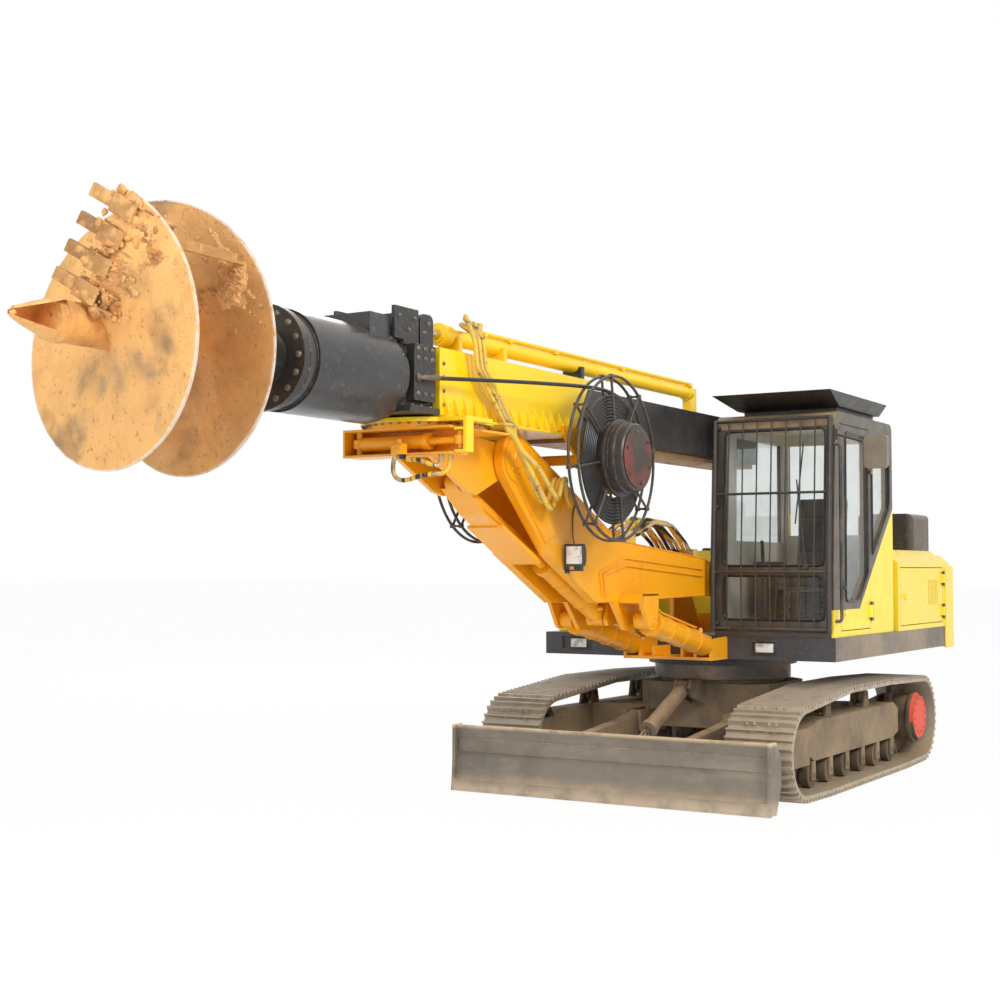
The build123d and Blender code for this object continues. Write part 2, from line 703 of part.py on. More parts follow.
def cylinder_set(base, eye, y, barrel_radius, rod_radius, barrel_length, eye_half, bore, collar, rod_inside):
    """Barrel and rod of a hydraulic cylinder between two (x, z) places at one Y.

    The barrel is bored for the rod; the rod's eye carries a loose pin of its own."""
    run = hypot(eye[0] - base[0], eye[1] - base[1])
    ux, uz = (eye[0] - base[0]) / run, (eye[1] - base[1]) / run

    def at(distance):
        return (base[0] + ux * distance, y, base[1] + uz * distance)

    neck = bore + 62
    barrel = bar(at(0), at(neck + 20), min(barrel_radius, eye_half) - 2)
    barrel += bar(at(neck), at(barrel_length), barrel_radius)
    barrel += bar(at(barrel_length - collar), at(barrel_length), barrel_radius + 10)
    barrel += across(base[0], base[1], bore + 26, y - eye_half, y + eye_half)
    barrel -= across(base[0], base[1], bore, y - eye_half - 1, y + eye_half + 1)
    barrel -= bar(at(neck + 40), at(barrel_length + 1), rod_radius + SEAT)
    rod = bar(at(max(neck + 60, barrel_length - rod_inside)), at(run - 20), rod_radius)
    rod += across(eye[0], eye[1], bore + 22, y - eye_half, y + eye_half)
    rod += across(eye[0], eye[1], bore - 4, y - eye_half - 4, y + eye_half + 4)
    return barrel, rod


# Upper frame and what stands on it

def upper_frame():
    """Deck plate with a dark skirt round it, two keels, and the round skirt over the slew ring."""
    body = block(DECK_REAR, DECK_FRONT, -DECK_HALF, DECK_HALF, DECK_HIGH - DECK_PLATE, DECK_HIGH)
    rim = block(DECK_REAR, DECK_FRONT, -DECK_HALF, DECK_HALF, DECK_LOW, DECK_HIGH - 1)
    rim -= block(DECK_REAR + SKIRT_WALL, DECK_FRONT - SKIRT_WALL,
                 -DECK_HALF + SKIRT_WALL, DECK_HALF - SKIRT_WALL, DECK_LOW - 1, DECK_HIGH)
    body += rim
    for side in (1, -1):
        low, high = sorted((side * KEEL_Y, side * (KEEL_Y + 40)))
        body += block(DECK_REAR + 1, DECK_FRONT - 1, low, high, DECK_LOW, DECK_HIGH - 1)
    body += upright(0, 0, SLEW_SKIRT_RADIUS, RING_TOP + SEAT, DECK_HIGH - 1)
    for y in LAMP_PLACES:
        body -= block(DECK_FRONT - LAMP_DEPTH, DECK_FRONT + 1, y - 85, y + 85, DECK_LOW + 45, DECK_LOW + 145)
    return body


def lift_bracket():
    """Bracket on the deck's front: a floor plate, ribs, and pairs of ears for the lift cylinders."""
    ear_y = LIFT_Y + LIFT_EYE_HALF + GAP
    outer_y = ear_y + BRACKET_PLATE
    front_x = LIFT_BASE_X + 95
    body = block(DECK_FRONT, front_x, -outer_y, outer_y, DECK_LOW, DECK_LOW + BRACKET_PLATE)
    ear = [(DECK_FRONT, DECK_LOW), (front_x, DECK_LOW), (front_x, LIFT_BASE_Z - 30),
           (LIFT_BASE_X + 62, LIFT_BASE_Z + 40), (LIFT_BASE_X + 20, LIFT_BASE_Z + 66), (DECK_FRONT, DECK_HIGH - 5)]
    for side in (1, -1):
        for y in (ear_y, LIFT_Y - LIFT_EYE_HALF - GAP - BRACKET_PLATE):
            low, high = sorted((side * y, side * (y + BRACKET_PLATE)))
            body += plate(ear, low, high)
        low, high = sorted((side * BRACKET_RIB_Y, side * (BRACKET_RIB_Y + BRACKET_PLATE)))
        body += block(DECK_FRONT, front_x - 8, low, high, DECK_LOW + 1, LIFT_BASE_Z)
        reach = LIFT_EYE_HALF + GAP + 10
        body += across(LIFT_BASE_X, LIFT_BASE_Z, LIFT_PIN - PIN_FIT, side * LIFT_Y - reach, side * LIFT_Y + reach)
    return body


def boom_foot():
    """Two cheeks that carry the boom's foot pin, and the brackets of the lift cylinders."""
    cheeks = None
    for side in (1, -1):
        low, high = sorted((side * (BOOM_HALF + GAP), side * (BOOM_HALF + GAP + 36)))
        cheek = plate(
            [(FOOT_X - CHEEK_REACH, DECK_HIGH), (CHEEK_FRONT, DECK_HIGH), (FOOT_X + 130, FOOT_Z + 60),
             (FOOT_X + 60, FOOT_Z + 115), (FOOT_X - 60, FOOT_Z + 115), (FOOT_X - 130, FOOT_Z + 40)],
            low, high)
        cheeks = cheek if cheeks is None else cheeks + cheek
    cheeks += across(FOOT_X, FOOT_Z, FOOT_PIN - PIN_FIT, -BOOM_HALF - GAP - 10, BOOM_HALF + GAP + 10)
    cheeks += block(FOOT_X - CHEEK_REACH, FOOT_X - CHEEK_REACH + 40, -BOOM_HALF - GAP - 10, BOOM_HALF + GAP + 10,
                    DECK_HIGH, DECK_HIGH + 150)
    return cheeks


def counterweight():
    """Cast weight with round rear corners and a sloped top edge."""
    body = block(COUNTER_REAR, COUNTER_FRONT, -COUNTER_HALF, COUNTER_HALF, COUNTER_LOW, COUNTER_HIGH)
    corners = body.edges().filter_by(Axis.Z).group_by(Axis.X)[0]
    body = fillet(corners, COUNTER_CORNER)
    top = body.faces().sort_by(Axis.Z)[-1].edges().sort_by(Axis.X)[0:3]
    body = chamfer(top, 110)
    body -= block(DECK_REAR - GAP, COUNTER_FRONT + 1, -DECK_HALF - 1, DECK_HALF + 1,
                  COUNTER_LOW - 1, DECK_HIGH)
    return body


def engine_hood():
    """Hollow cover over the engine room, with a chamfered top and an opening on each side."""
    outline = [
        (-DECK_HALF, DECK_HIGH), (-DECK_HALF, HOOD_HIGH - HOOD_CHAMFER),
        (-DECK_HALF + HOOD_CHAMFER, HOOD_HIGH), (DECK_HALF - HOOD_CHAMFER, HOOD_HIGH),
        (DECK_HALF, HOOD_HIGH - HOOD_CHAMFER), (DECK_HALF, DECK_HIGH),
    ]
    face = make_face(Polyline([(COUNTER_FRONT, y, z) for y, z in outline], close=True))
    body = extrude(face, amount=HOOD_FRONT - COUNTER_FRONT, dir=(1, 0, 0))
    wall = HOOD_WALL
    inside = [
        (-DECK_HALF + wall, DECK_HIGH - 1), (-DECK_HALF + wall, HOOD_HIGH - HOOD_CHAMFER - wall / 2),
        (-DECK_HALF + HOOD_CHAMFER + wall / 2, HOOD_HIGH - wall),
        (DECK_HALF - HOOD_CHAMFER - wall / 2, HOOD_HIGH - wall),
        (DECK_HALF - wall, HOOD_HIGH - HOOD_CHAMFER - wall / 2), (DECK_HALF - wall, DECK_HIGH - 1),
    ]
    face = make_face(Polyline([(COUNTER_FRONT + wall, y, z) for y, z in inside], close=True))
    body -= extrude(face, amount=HOOD_FRONT - COUNTER_FRONT - 2 * wall, dir=(1, 0, 0))
    body -= block(DOOR_X0, DOOR_X1, -DECK_HALF - 1, DECK_HALF + 1, DOOR_Z0, DOOR_Z1)
    return body


def engine_door(side):
    """Side door of the engine room, as thick as the hood, with slots and a grip."""
    outer = side * DECK_HALF
    inner = side * (DECK_HALF - HOOD_WALL)
    low, high = sorted((outer, inner))
    door = block(DOOR_X0 + GAP, DOOR_X1 - GAP, low, high, DOOR_Z0 + GAP, DOOR_Z1 - GAP)
    step = 46
    for k in range(LOUVRE_COUNT):
        x = DOOR_X0 + 160 + k * step
        door -= block(x, x + 20, low - 1, high + 1, DOOR_Z1 - 330, DOOR_Z1 - 110)
    low, high = sorted((outer - side * 1, outer + side * 26))
    door += block(DOOR_X1 - 150, DOOR_X1 - 80, low, high, (DOOR_Z0 + DOOR_Z1) / 2 - 16,
                  (DOOR_Z0 + DOOR_Z1) / 2 + 16)
    hinge_y = side * (DECK_HALF + HINGE_OUT)
    for z in (DOOR_Z0 + 60, DOOR_Z1 - 140):
        door += upright(DOOR_X0 + GAP, hinge_y, HINGE_RADIUS, z, z + 80)
        low, high = sorted((outer - side * 2, hinge_y))
        door += block(DOOR_X0 + GAP, DOOR_X0 + 50, low, high, z, z + 80)
    return door


def engine():
    middle = (COUNTER_FRONT + HOOD_FRONT) / 2
    body = block(middle - ENGINE_LENGTH / 2, middle + ENGINE_LENGTH / 2,
                 -ENGINE_WIDTH / 2, ENGINE_WIDTH / 2, DECK_HIGH, DECK_HIGH + ENGINE_HEIGHT)
    return body


def tank_box():
    """Fuel and oil tank box along the right side, ahead of the engine room."""
    body = block(HOOD_FRONT, 560, -DECK_HALF, -640, DECK_HIGH, 1720)
    body = fillet(body.edges().filter_by(Axis.X).group_by(Axis.Z)[-1], 60)
    return body


def front_box():
    """Low box across the front of the deck with two access openings."""
    body = block(CAB_FRONT_LOW - 240, DECK_FRONT, -630, -430, DECK_HIGH, DECK_HIGH + 190)
    body = chamfer(body.edges().filter_by(Axis.Y).group_by(Axis.Z)[-1].sort_by(Axis.X)[-1:], 50)
    return body


# Cab

def cab_outline(grow):
    """Side view of the cab as (x, z), shrunk by a negative grow."""
    return [
        (CAB_REAR - grow, CAB_FLOOR if grow == 0 else CAB_FLOOR - grow),
        (CAB_FRONT_LOW + grow, CAB_FLOOR if grow == 0 else CAB_FLOOR - grow),
        (CAB_FRONT_LOW + grow, CAB_KNEE),
        (CAB_FRONT_HIGH + grow, CAB_ROOF + grow),
        (CAB_REAR - grow, CAB_ROOF + grow),
    ]


def shield_x(z):
    """X of the cab's front face at a height."""
    lean = (CAB_FRONT_LOW - CAB_FRONT_HIGH) / (CAB_ROOF - CAB_KNEE)
    return CAB_FRONT_LOW - lean * max(z - CAB_KNEE, 0)


def cab_shell():
    """Hollow cab: floor, roof and pillars, with every window and the door opening cut."""
    body = plate(cab_outline(0), CAB_INNER_Y, CAB_OUTER_Y)
    body = fillet(body.edges().filter_by(Axis.Y).group_by(Axis.Z)[-1], 70)
    body -= plate(cab_outline(-CAB_WALL), CAB_INNER_Y + CAB_WALL, CAB_OUTER_Y - CAB_WALL)
    y0, y1 = CAB_INNER_Y + CAB_PILLAR, CAB_OUTER_Y - CAB_PILLAR
    x0, x1 = shield_x(SHIELD_LOW), shield_x(SHIELD_HIGH)
    reach = CAB_WALL + 30
    body -= plate([(x0 - reach, SHIELD_LOW), (x0 + reach, SHIELD_LOW), (x1 + reach, SHIELD_HIGH),
                   (x1 - reach, SHIELD_HIGH)], y0, y1)
    body -= block(CAB_FRONT_LOW - reach, CAB_FRONT_LOW + 1, y0, y1, FOOT_WINDOW_LOW, FOOT_WINDOW_HIGH)
    body -= block(CAB_REAR - 1, CAB_REAR + reach, y0, y1, REAR_WINDOW_LOW, WINDOW_HIGH)
    body -= plate(RIGHT_WINDOW, CAB_INNER_Y - 1, CAB_INNER_Y + reach)
    body -= block(DOOR_REAR_X, DOOR_FRONT_X, CAB_OUTER_Y - CAB_WALL - 20, CAB_OUTER_Y + 1,
                  DOOR_LOW, DOOR_HIGH)
    body -= plate(QUARTER_WINDOW, CAB_OUTER_Y - CAB_WALL - 1, CAB_OUTER_Y + 1)
    return body


def cab_door():
    """Door as thick as the cab wall, with its window cut, hinged at the rear edge."""
    door = block(DOOR_REAR_X + GAP, DOOR_FRONT_X - DOOR_FRONT_GAP, CAB_OUTER_Y - CAB_WALL, CAB_OUTER_Y,
                 DOOR_LOW + GAP, DOOR_HIGH - GAP)
    door -= plate(DOOR_WINDOW, CAB_OUTER_Y - CAB_WALL - 1, CAB_OUTER_Y + 1)
    for z in (DOOR_LOW + 90, DOOR_HIGH - 330):
        door += upright(DOOR_REAR_X + GAP, CAB_OUTER_Y + HINGE_OUT, HINGE_RADIUS, z, z + 100)
        door += block(DOOR_REAR_X + GAP, DOOR_REAR_X + 60, CAB_OUTER_Y - 2, CAB_OUTER_Y + HINGE_OUT,
                      z, z + 100)
    door += block(DOOR_FRONT_X - 100, DOOR_FRONT_X - 20, CAB_OUTER_Y - 1, CAB_OUTER_Y + 30, 1330, 1365)
    return door


def hinge_pins():
    """Hinge brackets of the cab door and the engine doors, fixed to their frames."""
    made = []
    for z in (DOOR_LOW + 90, DOOR_HIGH - 330):
        made.append(hinge_bracket(DOOR_REAR_X + GAP, CAB_OUTER_Y, 1, z, 100))
    for side in (1, -1):
        for z in (DOOR_Z0 + 60, DOOR_Z1 - 140):
            made.append(hinge_bracket(DOOR_X0 + GAP, side * DECK_HALF, side, z, 80))
    return made


def hinge_bracket(x, wall_y, side, z, height):
    """A leaf behind the hinge line with two fingers, above and below the moving knuckle."""
    y = wall_y + side * HINGE_OUT
    part = None
    for low in (z - 24, z + height + SEAT):
        finger = upright(x, y, HINGE_RADIUS, low, low + 24 - SEAT)
        a, b = sorted((wall_y, y))
        finger += block(x - 60, x, a, b, low, low + 24 - SEAT)
        part = finger if part is None else part + finger
    a, b = sorted((wall_y, wall_y + side * 10))
    part += block(x - 60, x - 30, a, b, z - 24, z + height + 24)
    return part


def cab_glass():
    """Panes of the windshield, lower front window, rear window and right-hand window."""
    y0, y1 = CAB_INNER_Y + CAB_PILLAR, CAB_OUTER_Y - CAB_PILLAR
    x0, x1 = shield_x(SHIELD_LOW) - GLASS_INSET, shield_x(SHIELD_HIGH) - GLASS_INSET
    front = plate([(x0 - GLASS, SHIELD_LOW), (x0, SHIELD_LOW), (x1, SHIELD_HIGH), (x1 - GLASS, SHIELD_HIGH)], y0, y1)
    foot_x = CAB_FRONT_LOW - GLASS_INSET
    foot = block(foot_x - GLASS, foot_x, y0, y1, FOOT_WINDOW_LOW, FOOT_WINDOW_HIGH)
    rear_x = CAB_REAR + GLASS_INSET
    rear = block(rear_x, rear_x + GLASS, y0, y1, REAR_WINDOW_LOW, WINDOW_HIGH)
    right = plate(RIGHT_WINDOW, CAB_INNER_Y + GLASS_INSET, CAB_INNER_Y + GLASS_INSET + GLASS)
    quarter = plate(QUARTER_WINDOW, CAB_OUTER_Y - CAB_WALL / 2, CAB_OUTER_Y - CAB_WALL / 2 + GLASS)
    return [front, foot, rear, right, quarter]


def door_glass():
    return plate(DOOR_WINDOW, CAB_OUTER_Y - CAB_WALL / 2, CAB_OUTER_Y - CAB_WALL / 2 + GLASS)


def cab_guard():
    """Front grille of the cab: a frame, upright bars and two cross bars, on short stand-offs."""
    lean = (CAB_FRONT_LOW - CAB_FRONT_HIGH) / (CAB_ROOF - CAB_KNEE)
    y0, y1 = CAB_INNER_Y - 20, CAB_OUTER_Y
    low, high = CAB_FLOOR + 35, CAB_ROOF - 40

    def front_x(z):
        return shield_x(z) + GUARD_STAND_OFF

    def rail(z, radius):
        return bar((front_x(z), y0 + radius, z), (front_x(z), y1 - radius, z), radius)

    guard = None
    for k in range(GUARD_BARS):
        y = y0 + 24 + (y1 - y0 - 48) * k / (GUARD_BARS - 1)
        radius = GUARD_TUBE if k in (0, GUARD_BARS - 1) else GUARD_BAR / 2
        upright_bar = bar((front_x(low), y, low), (front_x(CAB_KNEE), y, CAB_KNEE), radius)
        upright_bar += bar((front_x(CAB_KNEE), y, CAB_KNEE), (front_x(high), y, high), radius)
        guard = upright_bar if guard is None else guard + upright_bar
    for z, radius in ((low + GUARD_TUBE, GUARD_TUBE - 4), (cab_z(0.287), 10), (cab_z(0.64), 10), (high - 10, 14)):
        guard += rail(z, radius)
    for z in (low + 60, cab_z(0.583), high - 60):
        for y in (y0 + 44, y1 - 34):
            face = front_x(z) - GUARD_STAND_OFF + SEAT + (14 * lean if z > CAB_KNEE else 0)
            guard += along(y, z, 14, face, front_x(z))
    return guard


def cab_visor():
    """Open tray over the cab roof: slanted walls on a base frame, the front one reaching far out."""
    body = block(CAB_REAR + 240, 430, CAB_INNER_Y + 120, CAB_OUTER_Y - 80, CAB_ROOF, VISOR_LOW + 1)
    outer = visor_form(0)
    inner = visor_form(VISOR_WALL)
    return body + (outer - Pos(0, 0, VISOR_WALL) * inner)


def visor_form(wall):
    """The tray's outer form, or the space inside its walls."""
    y0, y1 = CAB_INNER_Y + 90 + wall, CAB_OUTER_Y - 36 - wall
    x0, x1 = CAB_REAR + 215 + wall, 500 - wall
    low = make_face(Polyline([(x0, y0, VISOR_LOW), (x1, y0, VISOR_LOW), (x1, y1, VISOR_LOW), (x0, y1, VISOR_LOW)],
                             close=True))
    y0, y1 = CAB_INNER_Y + 32 + wall, CAB_OUTER_Y + 24 - wall
    x0, x1 = CAB_REAR + 200 + wall, 880 - 2 * wall
    high = make_face(Polyline([(x0, y0, VISOR_HIGH), (x1, y0, VISOR_HIGH), (x1, y1, VISOR_HIGH),
                               (x0, y1, VISOR_HIGH)], close=True))
    return loft([low, high], ruled=True)


def seat():
    middle = (CAB_INNER_Y + CAB_OUTER_Y) / 2
    floor = CAB_FLOOR + CAB_WALL
    body = block(-330, 190, middle - 240, middle + 240, floor + 300, floor + 430)
    body += plate([(-400, floor + 430), (-230, floor + 430), (-330, floor + 1080), (-460, floor + 1080)],
                  middle - 220, middle + 220)
    body += block(-400, -230, middle - 240, middle + 240, floor + 300, floor + 440)
    body += block(-250, 60, middle - 150, middle + 150, floor, floor + 301)
    return body


def console():
    """Control stands each side of the seat with a lever, and the pedals ahead of it."""
    middle = (CAB_INNER_Y + CAB_OUTER_Y) / 2
    floor = CAB_FLOOR + CAB_WALL
    made = []
    for side in (1, -1):
        y = middle + side * 310
        stand = block(-150, 260, y - 55, y + 55, floor, floor + 520)
        stand += bar((190, y, floor + 515), (215, y, floor + 690), 14)
        made.append(stand)
    for side in (1, -1):
        y = middle + side * 90
        pedal = block(430, 560, y - 50, y + 50, floor, floor + 30)
        pedal += bar((500, y, floor + 25), (470, y - side * 5, floor + 420), 11)
        made.append(pedal)
    return made


def roof_box():
    """Black rounded box on the left of the hood."""
    body = block(COUNTER_FRONT + 10, -1620, 620, DECK_HALF - HOOD_CHAMFER, HOOD_HIGH, HOOD_HIGH + 330)
    return fillet(body.edges().filter_by(Axis.X).group_by(Axis.Z)[-1] + body.edges().filter_by(Axis.Z), 60)


def mirror_and_rails():
    """Door mirror on its arm, and the grab rail on the cab's front pillar."""
    foot_x = MIRROR_X + MIRROR_DEPTH / 2
    middle_z = CAB_ROOF - 180
    arm = block(foot_x - 25, foot_x + 25, CAB_OUTER_Y, CAB_OUTER_Y + 14, middle_z - 40, middle_z + 40)
    arm += bar((foot_x, CAB_OUTER_Y + 7, middle_z), (foot_x, MIRROR_Y + 40, MIRROR_HIGH - 60), 11)
    head = block(MIRROR_X, MIRROR_X + MIRROR_DEPTH, MIRROR_Y, MIRROR_Y + MIRROR_WIDTH, MIRROR_LOW, MIRROR_HIGH)
    arm += fillet(head.edges().filter_by(Axis.X), 34)
    rail_x = DOOR_FRONT_X + 125
    rail_y = CAB_OUTER_Y + 48
    low, high = cab_z(0.0725), CAB_ROOF - 260
    line = FilletPolyline((rail_x, CAB_OUTER_Y, low), (rail_x, rail_y, low), (rail_x, rail_y, high),
                          (rail_x, CAB_OUTER_Y, high), radius=24)
    rail = sweep(Plane(origin=line @ 0, z_dir=line % 0) * Circle(13), path=line)
    return arm, rail


# Boom

def boom():
    """Welded box boom with an elbow, a forked head and lugs for the cylinders."""
    half = BOOM_HALF
    profile = [
        (FOOT_X, FOOT_Z + 100), (BOOM_TOP_X, BOOM_TOP_Z), BEND_TOP, (MAST_PIN_X - 65, MAST_PIN_Z + 157),
        (MAST_PIN_X + 125, MAST_PIN_Z - 115), (3300, 1760), BEND_LOW, (1950, 1445), (840, 1465),
        (FOOT_X, FOOT_Z - 100),
    ]
    body = plate(profile, -half, half)
    body += across(FOOT_X, FOOT_Z, 100, -half, half)
    body += across(MAST_PIN_X, MAST_PIN_Z, BOOM_HEAD_RADIUS, -half, half)
    t = BOOM_PLATE
    inside = [
        (700, FOOT_Z + 100), (900, 1765 - t), (BEND_TOP[0], BEND_TOP[1] - t), (FORK_ROOT - 60, 2145),
        (FORK_ROOT - 60, 1960), (BEND_LOW[0] - 120, BEND_LOW[1] + 200), (1950, 1445 + t),
        (900, 1465 + t), (700, FOOT_Z - 60),
    ]
    body -= plate(inside, -half + t, half - t)
    slot = CRADLE_HALF + GAP
    body -= plate(
        [(FORK_ROOT, 2400), (FORK_ROOT, 1995), (BEND_LOW[0] - 110, BEND_LOW[1] + 170),
         (BEND_LOW[0] - 420, BEND_LOW[1] - 1), (2700, 1300), (3900, 1900), (3900, 2560), (3300, 2560)],
        -slot, slot)
    body -= across(FOOT_X, FOOT_Z, FOOT_PIN, -half - 1, half + 1)
    for side in (1, -1):
        inner = side * (TILT_EYE_HALF + GAP)
        low, high = sorted((inner, inner + side * 34))
        body += plate(
            [(1900, 1460), (2215, 1460), (TILT_BASE_X + 52, TILT_BASE_Z - 20), (TILT_BASE_X + 20, TILT_BASE_Z - 58),
             (TILT_BASE_X - 60, TILT_BASE_Z - 60)], low, high)
        low, high = sorted((side * (half - 34), side * half))
        body += plate(
            [(LIFT_EYE_X - 230, 1450), (LIFT_EYE_X + 280, 1450), (LIFT_EYE_X + 80, LIFT_EYE_Z - 70),
             (LIFT_EYE_X - 70, LIFT_EYE_Z - 80)], low, high)
    body += across(TILT_BASE_X, TILT_BASE_Z, TILT_PIN - PIN_FIT, -TILT_EYE_HALF - GAP - 10, TILT_EYE_HALF + GAP + 10)
    for side in (1, -1):
        low, high = sorted((side * (half - 1), side * (half + DOUBLER)))
        body += plate([(MAST_PIN_X - 140, MAST_PIN_Z - 30), (MAST_PIN_X + 20, MAST_PIN_Z - 140),
                       (3340, 1840), (3215, 1905)], low, high)
        body += across(MAST_PIN_X, MAST_PIN_Z, BOOM_HEAD_RADIUS - 28, low, high)
        for shift in (0, STRIP_STEP):
            body += strip(shift, low, high)
    body += across(MAST_PIN_X, MAST_PIN_Z, MAST_PIN - PIN_FIT, -half + 5, half - 5)
    return body


def strip(shift, low, high):
    """A narrow raised strip that follows the elbow on the boom's side."""
    x_shift = (0, -0.35, -1.0, -1.0)
    line = [(x + shift * k, z - (shift if k > -1.0 else shift * 0.3)) for (x, z), k in zip(STRIP_LINE, x_shift)]
    part = None
    for (x0, z0), (x1, z1) in zip(line, line[1:]):
        run = hypot(x1 - x0, z1 - z0)
        nx, nz = -(z1 - z0) / run * STRIP_WIDTH / 2, (x1 - x0) / run * STRIP_WIDTH / 2
        piece = plate([(x0 + nx, z0 + nz), (x1 + nx, z1 + nz), (x1 - nx, z1 - nz), (x0 - nx, z0 - nz)], low, high)
        piece += across(x1, z1, STRIP_WIDTH / 2, low, high)
        part = piece if part is None else part + piece
    return part


def hose(points, radius, corners):
    """A tube along straight runs joined by arcs."""
    line = FilletPolyline(*points, radius=corners)
    return sweep(Plane(origin=line @ 0, z_dir=line % 0) * Circle(radius), path=line)


def boom_pad(x0, x1, top):
    """A block that sits on the boom's sloping top."""
    slope = (BEND_TOP[1] - BOOM_TOP_Z) / (BEND_TOP[0] - BOOM_TOP_X)
    outline = [(x0, BOOM_TOP_Z + slope * (x0 - BOOM_TOP_X)), (x1, BOOM_TOP_Z + slope * (x1 - BOOM_TOP_X)),
               (x1, top), (x0, top)]
    return plate(outline, -PAD_HALF, PAD_HALF)


def boom_hoses():
    """Hoses that arch over the boom's top from a manifold to the boom's foot, side by side."""
    made = []
    manifold = boom_pad(1960, 2120, 1950)
    rear = boom_pad(880, 960, 1830)
    for k in range(HOSE_COUNT):
        y = -147 + k * 42
        rise = HOSE_RISES[k % len(HOSE_RISES)]
        reach = 1650 - 45 * (k % 3)
        manifold += hose([(1961, y, 1915), (1860, y, 1930), (reach, y, 2010 + rise), (1290, y, 1990 + rise),
                          (1060, y, 1880), (959, y, 1800)], HOSE_RADIUS, 90)
    return manifold + rear


def rod_guard():
    """Folded plate on the tilt rod's eye that shields rod and gland from spoil."""
    run = hypot(TILT_EYE[0] - TILT_BASE_X, TILT_EYE[1] - TILT_BASE_Z)
    side_plane = Plane(
        origin=(TILT_BASE_X, 0, TILT_BASE_Z),
        x_dir=(TILT_EYE[0] - TILT_BASE_X, 0, TILT_EYE[1] - TILT_BASE_Z), z_dir=(0, -1, 0))
    clear = TILT_BARREL_RADIUS + 10 + GAP
    outline = [
        (run - 40, -34), (run - 260, -clear), (run - GUARD_TAIL, -clear),
        (run - GUARD_TAIL, -clear - 10), (run - 255, -clear - 10), (run + 10, -44),
    ]
    cover = extrude(side_plane * make_face(Polyline(outline, close=True)), amount=GUARD_HALF, both=True)
    hood = [
        (run - GUARD_WIDE, -clear), (run - GUARD_TAIL, -clear), (run - GUARD_TAIL, -clear - 34),
        (run - GUARD_WIDE, -clear - 20),
    ]
    return cover + extrude(side_plane * make_face(Polyline(hood, close=True)), amount=GUARD_WIDE_HALF, both=True)


# Mast cradle

def cradle():
    """Hub on the mast pin, two cheeks, the yoke and the fixed half of the swing ring."""
    half = CRADLE_HALF
    t = CRADLE_PLATE
    px, pz = MAST_PIN_X, MAST_PIN_Z
    ex, ez = TILT_EYE
    yoke_half = RING2_RADIUS - 20
    body = across(px, pz, 100, -half, half)
    for side in (1, -1):
        low, high = sorted((side * (half - t), side * half))
        body += plate(
            [(px - 70, pz + 60), (px + 60, pz + 95), (RING2_X - 200, RING2_LOW), (YOKE_BACK, RING2_LOW),
             (YOKE_BACK, RING2_LOW - YOKE_DEEP), (ex + 70, ez - 60), (ex - 30, ez - 80), (px + 20, pz - 98)],
            low, high)
    body += block(YOKE_REAR, YOKE_FRONT, -yoke_half, yoke_half, RING2_LOW - YOKE_PLATE, RING2_LOW)
    body += block(YOKE_BACK - 30, YOKE_FRONT, -yoke_half, yoke_half,
                  RING2_LOW - YOKE_DEEP - YOKE_PLATE, RING2_LOW - YOKE_DEEP)
    body += block(YOKE_BACK - YOKE_PLATE, YOKE_BACK, -yoke_half, yoke_half, RING2_LOW - YOKE_DEEP - 1, RING2_LOW - YOKE_PLATE + 1)
    body += block(YOKE_BACK - YOKE_PLATE, YOKE_FRONT, -yoke_half, -yoke_half + YOKE_PLATE,
                  RING2_LOW - YOKE_DEEP - 1, RING2_LOW - YOKE_PLATE + 1)
    body += upright(RING2_X, 0, RING2_RADIUS - 35, RING2_LOW - 1, RING2_LOW + RING2_PLATE)
    body -= across(px, pz, MAST_PIN, -half - 1, half + 1)
    body += upright(SWING_CYL_X, SWING_BASE_Y, SWING_PIN - PIN_FIT, RING2_LOW - YOKE_DEEP - 1, RING2_LOW - YOKE_PLATE + 1)
    return body


def swing_cylinder():
    """Barrel and rod of the small cylinder that lies across the yoke and turns the mast."""
    z = SWING_CYL_Z
    x = SWING_CYL_X
    half = SWING_EYE_HALF
    reach = SWING_EYE_Y - SWING_BASE_Y
    tube = reach - 205
    barrel = Pos(x, SWING_BASE_Y + tube / 2 + 15, z) * Rot(90, 0, 0) * Cylinder(SWING_CYL_RADIUS, tube - 30)
    barrel += upright(x, SWING_BASE_Y, 40, z - half, z + half)
    barrel += Pos(x, SWING_BASE_Y + tube - 20, z) * Rot(90, 0, 0) * Cylinder(SWING_CYL_RADIUS + 8, 40)
    barrel -= upright(x, SWING_BASE_Y, SWING_PIN, z - half - 20, z + half + 20)
    barrel -= bar((x, SWING_BASE_Y + 60, z), (x, SWING_BASE_Y + tube + 5, z), SWING_ROD_RADIUS + SEAT)
    rod = bar((x, SWING_BASE_Y + 180, z), (x, SWING_EYE_Y, z), SWING_ROD_RADIUS)
    rod += upright(x, SWING_EYE_Y, 36, z - half, z + half)
    rod += upright(x, SWING_EYE_Y, 18, z - half - 24, z + half + 24)
    return barrel, rod


# Mast

def outer_beam():
    """Square tube of the mast with a bronze-coloured rail below, closed by a rear plate."""
    y, t = BEAM_HALF, BEAM_WALL
    body = block(BEAM_REAR, SLEEVE_FRONT - 10, -y, y, BEAM_LOW, BEAM_HIGH)
    body -= block(BEAM_REAR - 1, SLEEVE_FRONT, -y + t, y - t, BEAM_LOW + t, BEAM_HIGH - t)
    for end in (SLEEVE_FRONT - 330, SLEEVE_REAR + 100):
        body += slide_pads(end, end + 180)
    body += saddle(SADDLES[0], BEAM_HIGH - 1)
    body += block(BEAM_REAR, BEAM_REAR + 20, -y + t - 1, y - t + 1, BEAM_LOW + t - 1, BEAM_HIGH - t + 1)
    return body


